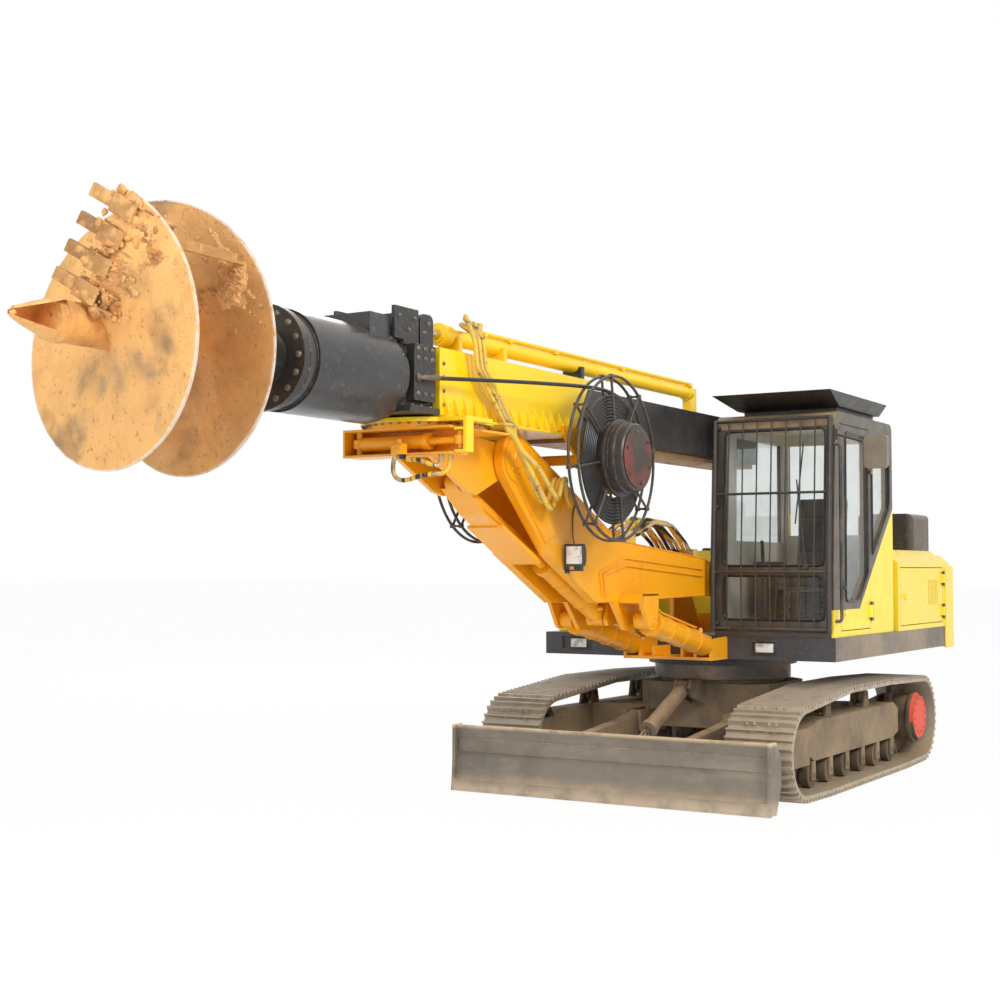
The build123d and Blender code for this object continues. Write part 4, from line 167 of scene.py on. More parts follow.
class Finish:
    """A node material built up in layers of colour."""

    def __init__(self, name, base, rough=0.45, metal=0.0, coat=0.0, sheen=0.0):
        self.material = bpy.data.materials.new(name)
        self.material.use_nodes = True
        self.tree = self.material.node_tree
        self.shader = self.tree.nodes["Principled BSDF"]
        for socket, value in (("Metallic", metal), ("Roughness", rough), ("Coat Weight", coat),
                              ("Coat Roughness", 0.15), ("Sheen Weight", sheen)):
            self.shader.inputs[socket].default_value = value
        self.place = self.node("ShaderNodeTexCoord").outputs["Object"]
        rgb = self.node("ShaderNodeRGB")
        rgb.outputs[0].default_value = base
        self.colour = rgb.outputs[0]
        self.rough = rough
        self.rough_add = None
        self.normal = None

    def node(self, kind, values=(), **settings):
        return add_node(self.tree, kind, values, **settings)

    def link(self, a, b):
        self.tree.links.new(a, b)

    def math(self, operation, a, b=None, clamp=False):
        n = self.node("ShaderNodeMath", operation=operation, use_clamp=clamp)
        for i, v in enumerate((a, b)):
            if v is None:
                continue
            if isinstance(v, (int, float)):
                n.inputs[i].default_value = v
            else:
                self.link(v, n.inputs[i])
        return n.outputs[0]

    def times(self, a, b):
        return self.math("MULTIPLY", a, b)

    def above(self, value, limit):
        return self.math("GREATER_THAN", value, limit)

    def below(self, value, limit):
        return self.math("LESS_THAN", value, limit)

    def axes(self):
        """The place's X, Y and Z."""
        split = self.node("ShaderNodeSeparateXYZ")
        self.link(self.place, split.inputs[0])
        return split.outputs

    def reach(self, a, b):
        """Distance from the axis that stands where a and b are 0."""
        return self.math("SQRT", self.math("ADD", self.times(a, a), self.times(b, b)))

    def ramp(self, value, low, high):
        """0 to 1 while a value goes from low to high."""
        r = self.node("ShaderNodeMapRange", {"From Min": low, "From Max": high})
        self.link(value, r.inputs["Value"])
        return r.outputs[0]

    def noise(self, scale, detail=4.0, low=0.45, high=0.6, stretch=None):
        place = self.place
        if stretch:
            m = self.node("ShaderNodeMapping", {"Scale": stretch})
            self.link(place, m.inputs["Vector"])
            place = m.outputs[0]
        n = self.node("ShaderNodeTexNoise", {"Scale": scale, "Detail": detail, "Roughness": 0.55})
        self.link(place, n.inputs["Vector"])
        return self.ramp(n.outputs[0], low, high)

    def mix(self, colour, amount, fac=None):
        n = self.node("ShaderNodeMix", data_type="RGBA")
        if fac is None:
            n.inputs[0].default_value = amount
        else:
            self.link(self.math("MULTIPLY", fac, amount, clamp=True), n.inputs[0])
        self.link(self.colour, n.inputs[6])
        if isinstance(colour, tuple):
            n.inputs[7].default_value = colour
        else:
            self.link(colour, n.inputs[7])
        self.colour = n.outputs[2]
        return self

    def clouds(self, colour, amount, scale, low=0.42, high=0.62, detail=5.0, stretch=None):
        """Soft patches of another colour."""
        return self.mix(colour, amount, self.noise(scale, detail, low, high, stretch))

    def facing(self, axis, sign=1.0, low=0.3, high=0.9):
        """How far a face points along an axis, or along it either way where sign is 0."""
        g = self.node("ShaderNodeNewGeometry")
        split = self.node("ShaderNodeSeparateXYZ")
        self.link(g.outputs["Normal"], split.inputs[0])
        value = split.outputs[axis]
        if sign == 0:
            value = self.math("ABSOLUTE", value)
        return self.ramp(value, low, high)

    def dust(self, colour, amount, scale=3.0):
        """Dust on the faces that point up."""
        patch = self.noise(scale, 6.0, 0.3, 0.62)
        return self.mix(colour, amount, self.times(self.facing("Z"), patch))

    def wear(self, colour, amount, radius=0.006, scale=22.0):
        """Bare colour along outer edges."""
        bevel = self.node("ShaderNodeBevel", {"Radius": radius}, samples=4)
        g = self.node("ShaderNodeNewGeometry")
        dot = self.node("ShaderNodeVectorMath", operation="DOT_PRODUCT")
        self.link(bevel.outputs[0], dot.inputs[0])
        self.link(g.outputs["Normal"], dot.inputs[1])
        self.normal = bevel.outputs[0]
        edge = self.ramp(dot.outputs["Value"], 0.97, 0.80)
        return self.mix(colour, amount, self.times(edge, self.noise(scale, 3.0, 0.45, 0.62)))

    def low_dust(self, colour, amount, top, scale=2.5):
        """Splashed dust that fades upwards from the ground to a height."""
        height = self.ramp(self.axes()["Z"], top, 0.0)
        return self.mix(colour, amount, self.times(height, self.noise(scale, 6.0, 0.3, 0.6)))

    def bump(self, scale, height, detail=4.0, stretch=None):
        n = self.noise(scale, detail, 0.0, 1.0, stretch)
        b = self.node("ShaderNodeBump", {"Strength": 1.0, "Distance": height})
        self.link(n, b.inputs["Height"])
        if self.normal is not None:
            self.link(self.normal, b.inputs["Normal"])
        self.normal = b.outputs[0]
        return self

    def rougher(self, scale, spread):
        """Roughness that varies over the surface."""
        n = self.noise(scale, 4.0, 0.3, 0.7)
        self.rough_add = self.math("ADD", self.times(n, spread), self.rough - spread / 2, clamp=True)
        return self

    def done(self):
        self.link(self.colour, self.shader.inputs["Base Color"])
        if self.rough_add is not None:
            self.link(self.rough_add, self.shader.inputs["Roughness"])
        if self.normal is not None:
            self.link(self.normal, self.shader.inputs["Normal"])
        return self.material


TAN = linear(196, 170, 132)
EARTH = linear(206, 148, 86)
BARE = linear(150, 142, 130)


def paint(name, base, rough=0.38, dust=0.25, grime=0.25, wear=0.55, coat=0.2, wear_colour=BARE):
    darker = tuple(c * 0.72 for c in base[:3]) + (1.0,)
    f = Finish(name, base, rough, 0.0, coat)
    f.clouds(darker, grime, 1.6, 0.40, 0.66)
    f.clouds(darker, grime * 0.8, 14.0, 0.55, 0.70, stretch=(1.0, 1.0, 0.25))
    f.wear(wear_colour, wear)
    f.dust(TAN, dust)
    f.rougher(9.0, 0.22)
    f.bump(260.0, 0.0006, 3.0)
    return f.done()


def dark_paint(name, base, rough=0.45, dust=0.35, side=0.0, wear=0.5):
    lighter = tuple(min(1.0, c * 1.9 + 0.01) for c in base[:3]) + (1.0,)
    f = Finish(name, base, rough, 0.0, 0.1)
    f.clouds(lighter, 0.35, 2.2)
    f.clouds(TAN, 0.10, 30.0, 0.58, 0.72)
    # painted light: faces that point along Y turn tan in patches to stand for the sunlit sides; the patches
    # also stand for dust
    if side:
        f.mix(TAN, side, f.times(f.facing("Y", 0, 0.5, 0.9), f.noise(1.4, 6.0, 0.2, 0.55)))
    f.wear(TAN, wear)
    f.dust(TAN, dust)
    f.rougher(12.0, 0.2)
    f.bump(320.0, 0.0005, 3.0)
    return f.done()


def steel(name, base, rough=0.4, metal=0.8, earth=0.3, low=0.0, dust=0.3):
    rust = linear(112, 70, 42)
    f = Finish(name, base, rough, metal)
    f.clouds(rust, 0.35, 7.0, 0.5, 0.68)
    f.clouds(EARTH, earth, 3.0, 0.42, 0.60, 8.0)
    if low:
        f.low_dust(TAN, low, 1.1)
    f.wear(linear(214, 200, 178), 0.7)
    f.dust(TAN, dust, 4.0)
    f.rougher(16.0, 0.3)
    f.bump(90.0, 0.0015, 6.0)
    return f.done()


def blade_finish(name):
    """Scuffed grey steel, tan along the top edge and the foot, with a paler rubbed band."""
    f = Finish(name, linear(126, 117, 104), 0.5, 0.15)
    f.clouds(linear(96, 88, 78), 0.5, 2.6, 0.42, 0.62, 7.0)
    f.clouds(linear(158, 146, 126), 0.5, 6.0, 0.50, 0.66, 6.0, stretch=(1.0, 0.35, 1.0))
    height = f.axes()["Z"]
    for low, high, colour, amount in (
        # heights where a band starts and is full, its colour, its share
        (0.470, 0.500, linear(240, 212, 164), 0.85),
        (0.130, 0.040, linear(200, 178, 150), 0.75),
    ):
        f.mix(colour, amount, f.times(f.ramp(height, low, high), f.noise(5.0, 5.0, 0.25, 0.5)))
    f.wear(linear(222, 206, 178), 0.7)
    f.dust(linear(226, 200, 156), 0.8, 4.0)
    f.rougher(16.0, 0.3)
    f.bump(90.0, 0.0015, 6.0)
    return f.done()


def dusty(name, base, amount=0.6, rough=0.7):
    """Paint under a thick layer of dry dust."""
    f = Finish(name, base, rough)
    f.clouds(TAN, amount, 2.0, 0.25, 0.6, 7.0)
    f.clouds(EARTH, amount * 0.5, 9.0, 0.45, 0.65, 6.0)
    f.low_dust(TAN, amount * 0.8, 0.9)
    f.wear(linear(222, 206, 178), 0.35)
    f.dust(linear(200, 174, 136), amount * 1.6, 5.0)
    f.bump(70.0, 0.0018, 7.0)
    return f.done()


def layered(name, base, rough, layers, metal=0.0, coat=0.0, sheen=0.0):
    """A finish from rows of a layer's kind and its values."""
    f = Finish(name, base, rough, metal, coat, sheen)
    for kind, *values in layers:
        getattr(f, kind)(*values)
    return f.done()


def glass(name):
    """Clear pane: mirror at grazing angles, see-through elsewhere."""
    m = bpy.data.materials.new(name)
    m.use_nodes = True
    tree = m.node_tree
    tree.nodes.clear()
    out = add_node(tree, "ShaderNodeOutputMaterial")
    clear = add_node(tree, "ShaderNodeBsdfTransparent", {"Color": (0.965, 0.98, 0.975, 1)})
    gloss = add_node(tree, "ShaderNodeBsdfGlossy", {"Roughness": 0.06, "Color": (0.8, 0.82, 0.8, 1)})
    film = add_node(tree, "ShaderNodeBsdfDiffuse", {"Color": linear(120, 108, 88)})
    place = add_node(tree, "ShaderNodeTexCoord")
    dirt = add_node(tree, "ShaderNodeTexNoise", {"Scale": 3.0, "Detail": 7.0})
    spread = add_node(tree, "ShaderNodeMapRange", {
        "From Min": 0.35, "From Max": 0.8, "To Min": 0.01, "To Max": 0.08,
    })
    facing = add_node(tree, "ShaderNodeLayerWeight", {"Blend": 0.5})
    steep = add_node(tree, "ShaderNodeMath", {1: 3.0}, operation="POWER")
    mirrored = add_node(tree, "ShaderNodeMath", {1: 0.6, 2: 0.03}, operation="MULTIPLY_ADD")
    clean = add_node(tree, "ShaderNodeMixShader")
    dirty = add_node(tree, "ShaderNodeMixShader")
    for source, target in (
        (place.outputs["Object"], dirt.inputs["Vector"]), (dirt.outputs[0], spread.inputs["Value"]),
        (facing.outputs["Facing"], steep.inputs[0]), (steep.outputs[0], mirrored.inputs[0]),
        (mirrored.outputs[0], clean.inputs[0]), (clear.outputs[0], clean.inputs[1]),
        (gloss.outputs[0], clean.inputs[2]), (spread.outputs[0], dirty.inputs[0]),
        (clean.outputs[0], dirty.inputs[1]), (film.outputs[0], dirty.inputs[2]),
        (dirty.outputs[0], out.inputs[0]),
    ):
        tree.links.new(source, target)
    return m


def cab_paint(name):
    """Dark brown over yellow on the side, a pale inside made paler still as painted light, and a tan front
    edge of the roof.
    """
    f = Finish(name, linear(66, 57, 49), 0.4, 0.0, 0.2)
    f.clouds(linear(92, 80, 68), 0.4, 2.0)
    x, y, z = f.axes()
    header = f.times(f.above(z, 2.770), f.facing("X", 1, 0.2, 0.6))
    f.mix(linear(184, 156, 122), 0.7, f.times(header, f.noise(3.0, 5.0, 0.2, 0.5)))
    inside = f.times(f.below(y, 1.205), f.above(y, 0.300))
    for limit in (f.below(x, 0.675), f.above(x, -0.675), f.below(z, 2.850)):
        inside = f.times(inside, limit)
    # painted light: the inside walls, pale grey of their own, are made paler to stand for the light that
    # falls in through the panes
    f.mix(linear(206, 200, 190), 0.9, inside)
    # the border is level in front and climbs to the rear
    slope = f.times(f.math("MAXIMUM", f.math("SUBTRACT", 0.17, x), 0.0), 0.931)
    low_side = f.times(f.below(z, f.math("ADD", slope, 1.365)), f.above(y, 1.215))
    rear = f.times(f.below(x, -0.66), f.below(z, 2.15))
    f.mix(linear(248, 222, 52), 1.0, f.math("MAXIMUM", low_side, rear))
    f.clouds(linear(150, 128, 60), 0.12, 5.0)
    f.wear(linear(160, 148, 128), 0.4)
    f.dust(TAN, 0.3)
    f.rougher(8.0, 0.2)
    f.bump(260.0, 0.0005, 3.0)
    return f.done()


def auger_steel(name):
    """Dark worn steel with a smeared coat of sandy earth, bright along the rim, and darker brown behind the
    front disc as painted shade.
    """
    f = Finish(name, linear(128, 112, 94), 0.5, 0.35)
    f.clouds(linear(92, 66, 44), 0.7, 5.0, 0.45, 0.62, 7.0)
    f.mix(linear(236, 180, 108), 0.97, f.noise(1.9, 7.0, 0.31, 0.44))
    f.clouds(linear(208, 150, 88), 0.4, 9.0, 0.48, 0.66, 7.0)
    f.mix(linear(170, 116, 66), 0.75, f.noise(34.0, 5.0, 0.60, 0.70))
    x, y, z = f.axes()
    # painted shade: the turns behind the front disc darken to brown, partly earth and partly the shade that
    # falls on them
    behind = f.ramp(x, 6.86, 6.62)
    f.mix(linear(140, 98, 60), 0.62, f.times(behind, f.noise(1.6, 6.0, 0.30, 0.56)))
    reach = f.reach(y, f.math("SUBTRACT", z, AXIS_Z))
    rim = f.times(f.above(reach, 0.638), f.below(reach, 0.6455))
    f.mix(linear(222, 212, 198), 0.8, f.times(rim, f.noise(20.0, 3.0, 0.3, 0.5)))
    f.rougher(10.0, 0.3)
    f.bump(60.0, 0.004, 8.0)
    return f.done()


def mirror_paint(name):
    """Dark rail, and a brown shell on the mirror that stands outside it."""
    f = Finish(name, linear(46, 42, 38), 0.42, 0.0, 0.1)
    f.mix(linear(112, 100, 84), 0.95, f.above(f.axes()["Y"], 1.440))
    f.clouds(linear(140, 126, 106), 0.4, 5.0)
    f.wear(TAN, 0.4)
    f.dust(TAN, 0.3)
    f.bump(300.0, 0.0005, 3.0)
    return f.done()


def sprocket_red(name):
    """Coral red on the drive's round cap, dark and dusty round it."""
    f = Finish(name, linear(46, 42, 38), 0.6)
    f.clouds(TAN, 0.3, 4.0, 0.35, 0.65)
    x, y, z = f.axes()
    reach = f.reach(f.math("SUBTRACT", x, SPROCKET_X), f.math("SUBTRACT", z, SPROCKET_Z))
    cap = f.times(f.below(reach, 0.194), f.above(f.math("ABSOLUTE", y), 1.188))
    f.mix(linear(232, 86, 64), 0.95, cap)
    f.clouds(linear(170, 120, 90), 0.25, 12.0, 0.5, 0.66)
    f.dust(TAN, 0.35)
    f.bump(120.0, 0.001, 4.0)
    return f.done()


MAT = {row[1]: row[0](*row[1:]) for row in (
    # kind of finish, its name, and its settings
    (paint, "mast_yellow", linear(250, 206, 8), 0.36, 0.14, 0.14),
    (paint, "boom_yellow", linear(246, 166, 4), 0.36, 0.14, 0.20),
    (paint, "cover_yellow", linear(248, 216, 44), 0.34, 0.16, 0.10),
    (dusty, "dusty_taupe", linear(78, 70, 61), 0.34),
    (dusty, "dusty_steel", linear(40, 37, 34), 0.16),
    (steel, "machined_steel", linear(96, 90, 84), 0.45, 0.5, 0.15),
    (steel, "shoe_steel", linear(168, 160, 146), 0.5, 0.25, 0.10, 0.40, 0.55),
    (paint, "red_paint", linear(214, 84, 62), 0.5, 0.2, 0.35, 0.5, 0.0, TAN),
    (blade_finish, "blade_steel"),
    (layered, "rod_chrome", linear(205, 205, 208), 0.12, (
        ("clouds", linear(140, 130, 112), 0.25, 8.0, 0.5, 0.7), ("rougher", 30.0, 0.1),
        ("bump", 500.0, 0.0001, 2.0),
    ), 1.0),
    # skirt grey with painted light: its sunlit sides turn tan in patches, which also stand for dust
    (dark_paint, "skirt_grey", linear(54, 54, 56), 0.5, 0.35, 0.45),
    (dark_paint, "engine_grey", linear(72, 72, 74)),
    (dark_paint, "satin_black", linear(40, 39, 38), 0.38, 0.4, 0.0),
    (cab_paint, "cab_brown"),
    (dark_paint, "guard_grey", linear(44, 40, 36), 0.42, 0.3),
    (glass, "window_glass"),
    (layered, "seat_cloth", linear(52, 52, 56), 0.9, (
        ("clouds", linear(84, 80, 74), 0.5, 6.0), ("bump", 900.0, 0.0008, 2.0, (1.0, 3.0, 1.0)),
    ), 0.0, 0.0, 0.4),
    (dark_paint, "console_plastic", linear(60, 60, 60), 0.6, 0.1, 0.0, 0.1),
    (steel, "rail_bronze", linear(160, 124, 80), 0.45, 0.5, 0.1),
    (dark_paint, "reel_black", linear(46, 40, 36), 0.4, 0.15, 0.0, 0.7),
    (layered, "hose_rubber", linear(20, 20, 21), 0.32, (
        ("clouds", linear(74, 66, 56), 0.35, 9.0, 0.5, 0.72), ("dust", TAN, 0.22, 6.0),
        ("bump", 400.0, 0.0004, 2.0),
    )),
    (auger_steel, "drill_steel"),
    # black hose with yellow paint and dust over most of it
    (layered, "hose_yellow", linear(226, 186, 64), 0.5, (
        ("clouds", linear(196, 166, 96), 0.8, 5.0, 0.40, 0.60),
        ("clouds", linear(60, 52, 40), 0.8, 11.0, 0.56, 0.66, 5.0, (1.0, 1.0, 2.0)),
        ("bump", 300.0, 0.0006, 3.0),
    )),
    (layered, "mud", linear(214, 154, 92), 0.85, (
        ("clouds", linear(150, 96, 52), 0.8, 14.0, 0.45, 0.62, 6.0),
        ("clouds", linear(236, 190, 124), 0.5, 4.0),
        ("bump", 80.0, 0.006, 8.0),
    )),
    # worn steel under a brown film of earth
    (layered, "tooth_steel", linear(186, 136, 78), 0.6, (
        ("clouds", linear(138, 94, 52), 0.8, 7.0, 0.42, 0.62, 6.0),
        ("clouds", linear(226, 176, 108), 0.7, 15.0, 0.50, 0.64, 6.0), ("wear", linear(206, 190, 166), 0.6),
        ("bump", 70.0, 0.003, 8.0),
    )),
    (steel, "bolt_zinc", linear(120, 112, 100), 0.4, 0.7, 0.1),
    (mirror_paint, "mirror_brown"),
    (sprocket_red, "sprocket_red"),
    (dark_paint, "drum_black", linear(46, 45, 45), 0.20, 0.12, 0.0, 0.3),
    # dark cover with a dull red worn patch
    (layered, "hub_face", linear(58, 48, 42), 0.5, (
        ("clouds", linear(132, 52, 44), 0.85, 3.2, 0.40, 0.56, 4.0),
        ("clouds", linear(90, 80, 70), 0.3, 14.0, 0.5, 0.7),
        ("wear", TAN, 0.5), ("bump", 200.0, 0.0008, 4.0),
    )),
    # pressed lens, pale with darker flutes
    (layered, "lamp_glass", linear(226, 224, 218), 0.14, (
        ("clouds", linear(120, 116, 108), 0.6, 22.0, 0.48, 0.62, 3.0),
        ("bump", 160.0, 0.002, 1.0, (0.2, 1.0, 0.2)),
    ), 0.0, 0.6),
    (paint, "tail_red", linear(176, 30, 24), 0.2, 0.1, 0.2, 0.1, 0.5),
    (dark_paint, "seat_grey", linear(64, 64, 66), 0.6, 0.1, 0.0, 0.1),
    # black hoses, each with its own share of yellow paint and tan sleeve
    (layered, "hose_mixed", linear(34, 32, 30), 0.4, (
        ("clouds", linear(232, 184, 40), 0.95, 9.0, 0.47, 0.50, 2.0, (0.18, 2.6, 0.18)),
        ("clouds", linear(204, 176, 128), 0.85, 7.0, 0.52, 0.56, 3.0, (0.4, 3.4, 0.4)),
        ("clouds", linear(70, 60, 46), 0.6, 16.0, 0.55, 0.68), ("bump", 300.0, 0.0006, 3.0),
    )),
    # roof taupe with a little painted light: its sunlit sides turn tan in patches, which also stand for dust
    (dark_paint, "roof_taupe", linear(50, 43, 37), 0.45, 0.35, 0.1, 0.3),
)}

FINISH_OF = {row["node"]: row["material_slot"] for row in frame["record"]["subparts"]}
FINISH_OF.update(roof_box="roof_taupe", drill_drive="drum_black", drive_flange="satin_black",
                 sprockets="sprocket_red", boom_hoses="hose_mixed", mirror_and_rail="mirror_brown")
for node, finish in FINISH_OF.items():
    for s in NODES[node].material_slots:
        s.material = MAT[finish]


# Mesh work

def bridge(bm, rows, flip=False):
    """Quads between neighbouring rows of vertices."""
    for here, there in zip(rows, rows[1:]):
        for j in range(len(here) - 1):
            quad = (here[j], here[j + 1], there[j + 1], there[j])
            bm.faces.new(quad[::-1] if flip else quad)


class Piece:
    """Collects solids in one mesh."""

    def __init__(self):
        self.bm = bmesh.new()

    def add(self, other, matrix=None):
        mesh = bpy.data.meshes.new("scratch")
        if matrix is not None:
            other.transform(matrix)
        other.to_mesh(mesh)
        other.free()
        self.bm.from_mesh(mesh)
        bpy.data.meshes.remove(mesh)
        return self

    def box(self, low, high, soft=0.0, turn=None):
        bm = bmesh.new()
        bmesh.ops.create_cube(bm, size=1.0)
        low, high = Vector(low), Vector(high)
        size, middle = high - low, (high + low) / 2
        bm.transform(Matrix.Diagonal((*size, 1.0)))
        if soft:
            bmesh.ops.bevel(bm, geom=bm.edges[:], offset=soft, segments=2, affect="EDGES", profile=0.6)
        place = Matrix.Translation(middle)
        return self.add(bm, place @ turn.to_4x4() if turn is not None else place)

    def boxes(self, corners, soft=0.0):
        for low, high in corners:
            self.box(low, high, soft)

    def prism(self, outline, low, high):
        """A plate between two Y, from its (x, z) outline."""
        bm = bmesh.new()
        rows = [[bm.verts.new((x, y, z)) for x, z in outline] for y in (low, high)]
        bm.faces.new(rows[0])
        bm.faces.new(rows[1][::-1])
        bridge(bm, [row + row[:1] for row in rows])
        bmesh.ops.recalc_face_normals(bm, faces=bm.faces[:])
        return self.add(bm)

    def rod(self, p, q, r, sides=20, r2=None):
        p, q = Vector(p), Vector(q)
        bm = bmesh.new()
        bmesh.ops.create_cone(bm, cap_ends=True, segments=sides, radius1=r, radius2=r if r2 is None else r2,
                              depth=(q - p).length)
        turn = (q - p).to_track_quat("Z", "Y").to_matrix().to_4x4()
        return self.add(bm, Matrix.Translation((p + q) / 2) @ turn)

    def turned(self, profile, origin, axis, sides=48):
        """A solid of revolution from (radius, distance along the axis) points."""
        bm = bmesh.new()
        rows = []
        for k in range(sides):
            a = 2 * math.pi * k / sides
            rows.append([bm.verts.new((r * math.cos(a), r * math.sin(a), d)) for r, d in profile])
        for k in range(sides):
            here, there = rows[k], rows[(k + 1) % sides]
            for i in range(len(profile) - 1):
                if profile[i][0] < 1e-6 and profile[i + 1][0] < 1e-6:
                    continue
                bm.faces.new((here[i], there[i], there[i + 1], here[i + 1]))
        bmesh.ops.remove_doubles(bm, verts=bm.verts[:], dist=1e-6)
        bmesh.ops.recalc_face_normals(bm, faces=bm.faces[:])
        turn = Vector(axis).to_track_quat("Z", "Y").to_matrix().to_4x4()
        return self.add(bm, Matrix.Translation(Vector(origin)) @ turn)

    def hoop(self, origin, axis, radius, wire, sides=72, around=8):
        angles = [2 * math.pi * k / around for k in range(around)]
        profile = [(radius + wire * math.cos(a), wire * math.sin(a)) for a in angles]
        return self.turned(profile + profile[:1], origin, axis, sides)

    def bolt(self, place, axis, size=0.024, tall=0.012):
        """Hexagon head with a chamfer, on a washer."""
        place, axis = Vector(place), Vector(axis).normalized()
        self.rod(place - axis * 0.002, place + axis * tall * 0.2, size * 0.72, 12)
        self.rod(place + axis * tall * 0.15, place + axis * tall * 0.85, size / 2, 6)
        return self.rod(place + axis * tall * 0.85, place + axis * tall, size / 2, 6, size * 0.42)

    def tube(self, points, radius, sides=10):
        """A round tube through points."""
        points = [Vector(p) for p in points]
        bm = bmesh.new()
        rows, side = [], None
        for i, p in enumerate(points):
            ahead = (points[min(i + 1, len(points) - 1)] - points[max(i - 1, 0)]).normalized()
            if side is None:
                side = ahead.orthogonal().normalized()
            side = (side - ahead * side.dot(ahead)).normalized()
            up = ahead.cross(side)
            rows.append([bm.verts.new(p + side * radius * math.cos(a) + up * radius * math.sin(a))
                         for a in (2 * math.pi * k / sides for k in range(sides))])
        bridge(bm, [row + row[:1] for row in rows])
        bm.faces.new(rows[0][::-1])
        bm.faces.new(rows[-1])
        return self.add(bm)

    def clump(self, place, size, rng, up=(1, 0, 0), flat=0.45):
        """A rough lump of earth, pressed flat along a direction."""
        bm = bmesh.new()
        bmesh.ops.create_icosphere(bm, subdivisions=2, radius=size)
        shift = Vector((rng.random() * 50, rng.random() * 50, rng.random() * 50))
        wide = Vector((rng.uniform(0.7, 1.5), rng.uniform(0.7, 1.5), flat))
        for v in bm.verts:
            rough = noise.fractal(v.co / size * 0.8 + shift, 1.0, 2.0, 4)
            v.co *= 1.0 + 0.6 * rough
            v.co = Vector((v.co.x * wide.x, v.co.y * wide.y, v.co.z * wide.z))
        turn = Vector(up).to_track_quat("Z", "Y").to_matrix().to_4x4()
        spin = Matrix.Rotation(rng.uniform(0, 6.28), 4, "Z")
        return self.add(bm, Matrix.Translation(Vector(place)) @ turn @ spin)

    def done(self, name, material, body, smooth=32.0, stands_for=()):
        mesh = bpy.data.meshes.new(name)
        self.bm.to_mesh(mesh)
        self.bm.free()
        mesh.materials.append(MAT[material] if isinstance(material, str) else material)
        mesh.shade_smooth()
        mesh.set_sharp_from_angle(angle=math.radians(smooth))
        o = bpy.data.objects.new(name, mesh)
        bpy.context.scene.collection.objects.link(o)
        if body:
            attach(o, body)
        if stands_for:
            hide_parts(*stands_for)
        return o


# Auger

# the flight's cutting edge, its pitch and reach, how far back the teeth stand in degrees, the stem's radius
EDGE_X = 7.190
EDGE_ANGLE = 68.0
PITCH = 0.51
RIM = 0.645
TOOTH_TURN = 11.0
STEM = 0.095
COUPLING_X = 6.055


def on_flight(turn, reach, ahead):
    """A point by the flight: degrees back from its edge, reach from the axis, distance ahead."""
    a = math.radians(EDGE_ANGLE - turn)
    return Vector((EDGE_X - turn / 360 * PITCH + ahead, reach * math.cos(a), AXIS_Z + reach * math.sin(a)))


def auger():
    """Flight, stem and coupling."""
    bm = bmesh.new()
    first, turns, steps = 7.0, 630.0, 252
    core, skin, last = 0.088, 0.008, 22
    reaches = [core + (RIM - core) * k / last for k in range(last + 1)]
    front, back = [], []
    for i in range(steps + 1):
        turn = first + (turns - first) * i / steps
        front.append([])
        back.append([])
        for j, reach in enumerate(reaches):
            p = on_flight(turn, reach, 0.0)
            relief = 0.0
            if 0 < j < last:
                rough = noise.fractal(p * 3.1, 1.0, 2.0, 5)
                fine = noise.fractal(p * 17.0, 1.0, 2.0, 4)
                caked = max(0.0, rough + 0.12 + 0.35 * max(0.0, 1.0 - reach / RIM))
                relief = 0.014 * caked + 0.003 * max(0.0, fine)
            edge = j == last
            front[i].append(bm.verts.new(on_flight(turn, reach, 0.0075 if edge else skin + relief)))
            back[i].append(bm.verts.new(on_flight(turn, reach, -0.0075 if edge else -skin - relief * 0.5)))
    bridge(bm, front)
    bridge(bm, back, True)
    bridge(bm, [[f[last], b[last]] for f, b in zip(front, back)])
    for i in (0, steps):
        bridge(bm, [[f, b] for f, b in zip(front[i], back[i])], i > 0)
    piece = Piece()
    piece.add(bm)
    piece.rod((COUPLING_X, 0, AXIS_Z), (EDGE_X + 0.15, 0, AXIS_Z), STEM, 40)
    piece.turned([(0, 0), (0.125, 0), (0.125, 0.15), (0.11, 0.17), (0, 0.17)],
                 (COUPLING_X, 0, AXIS_Z), (1, 0, 0))
    piece.done("auger_fine", "drill_steel", "drill", 40.0, ("auger",))


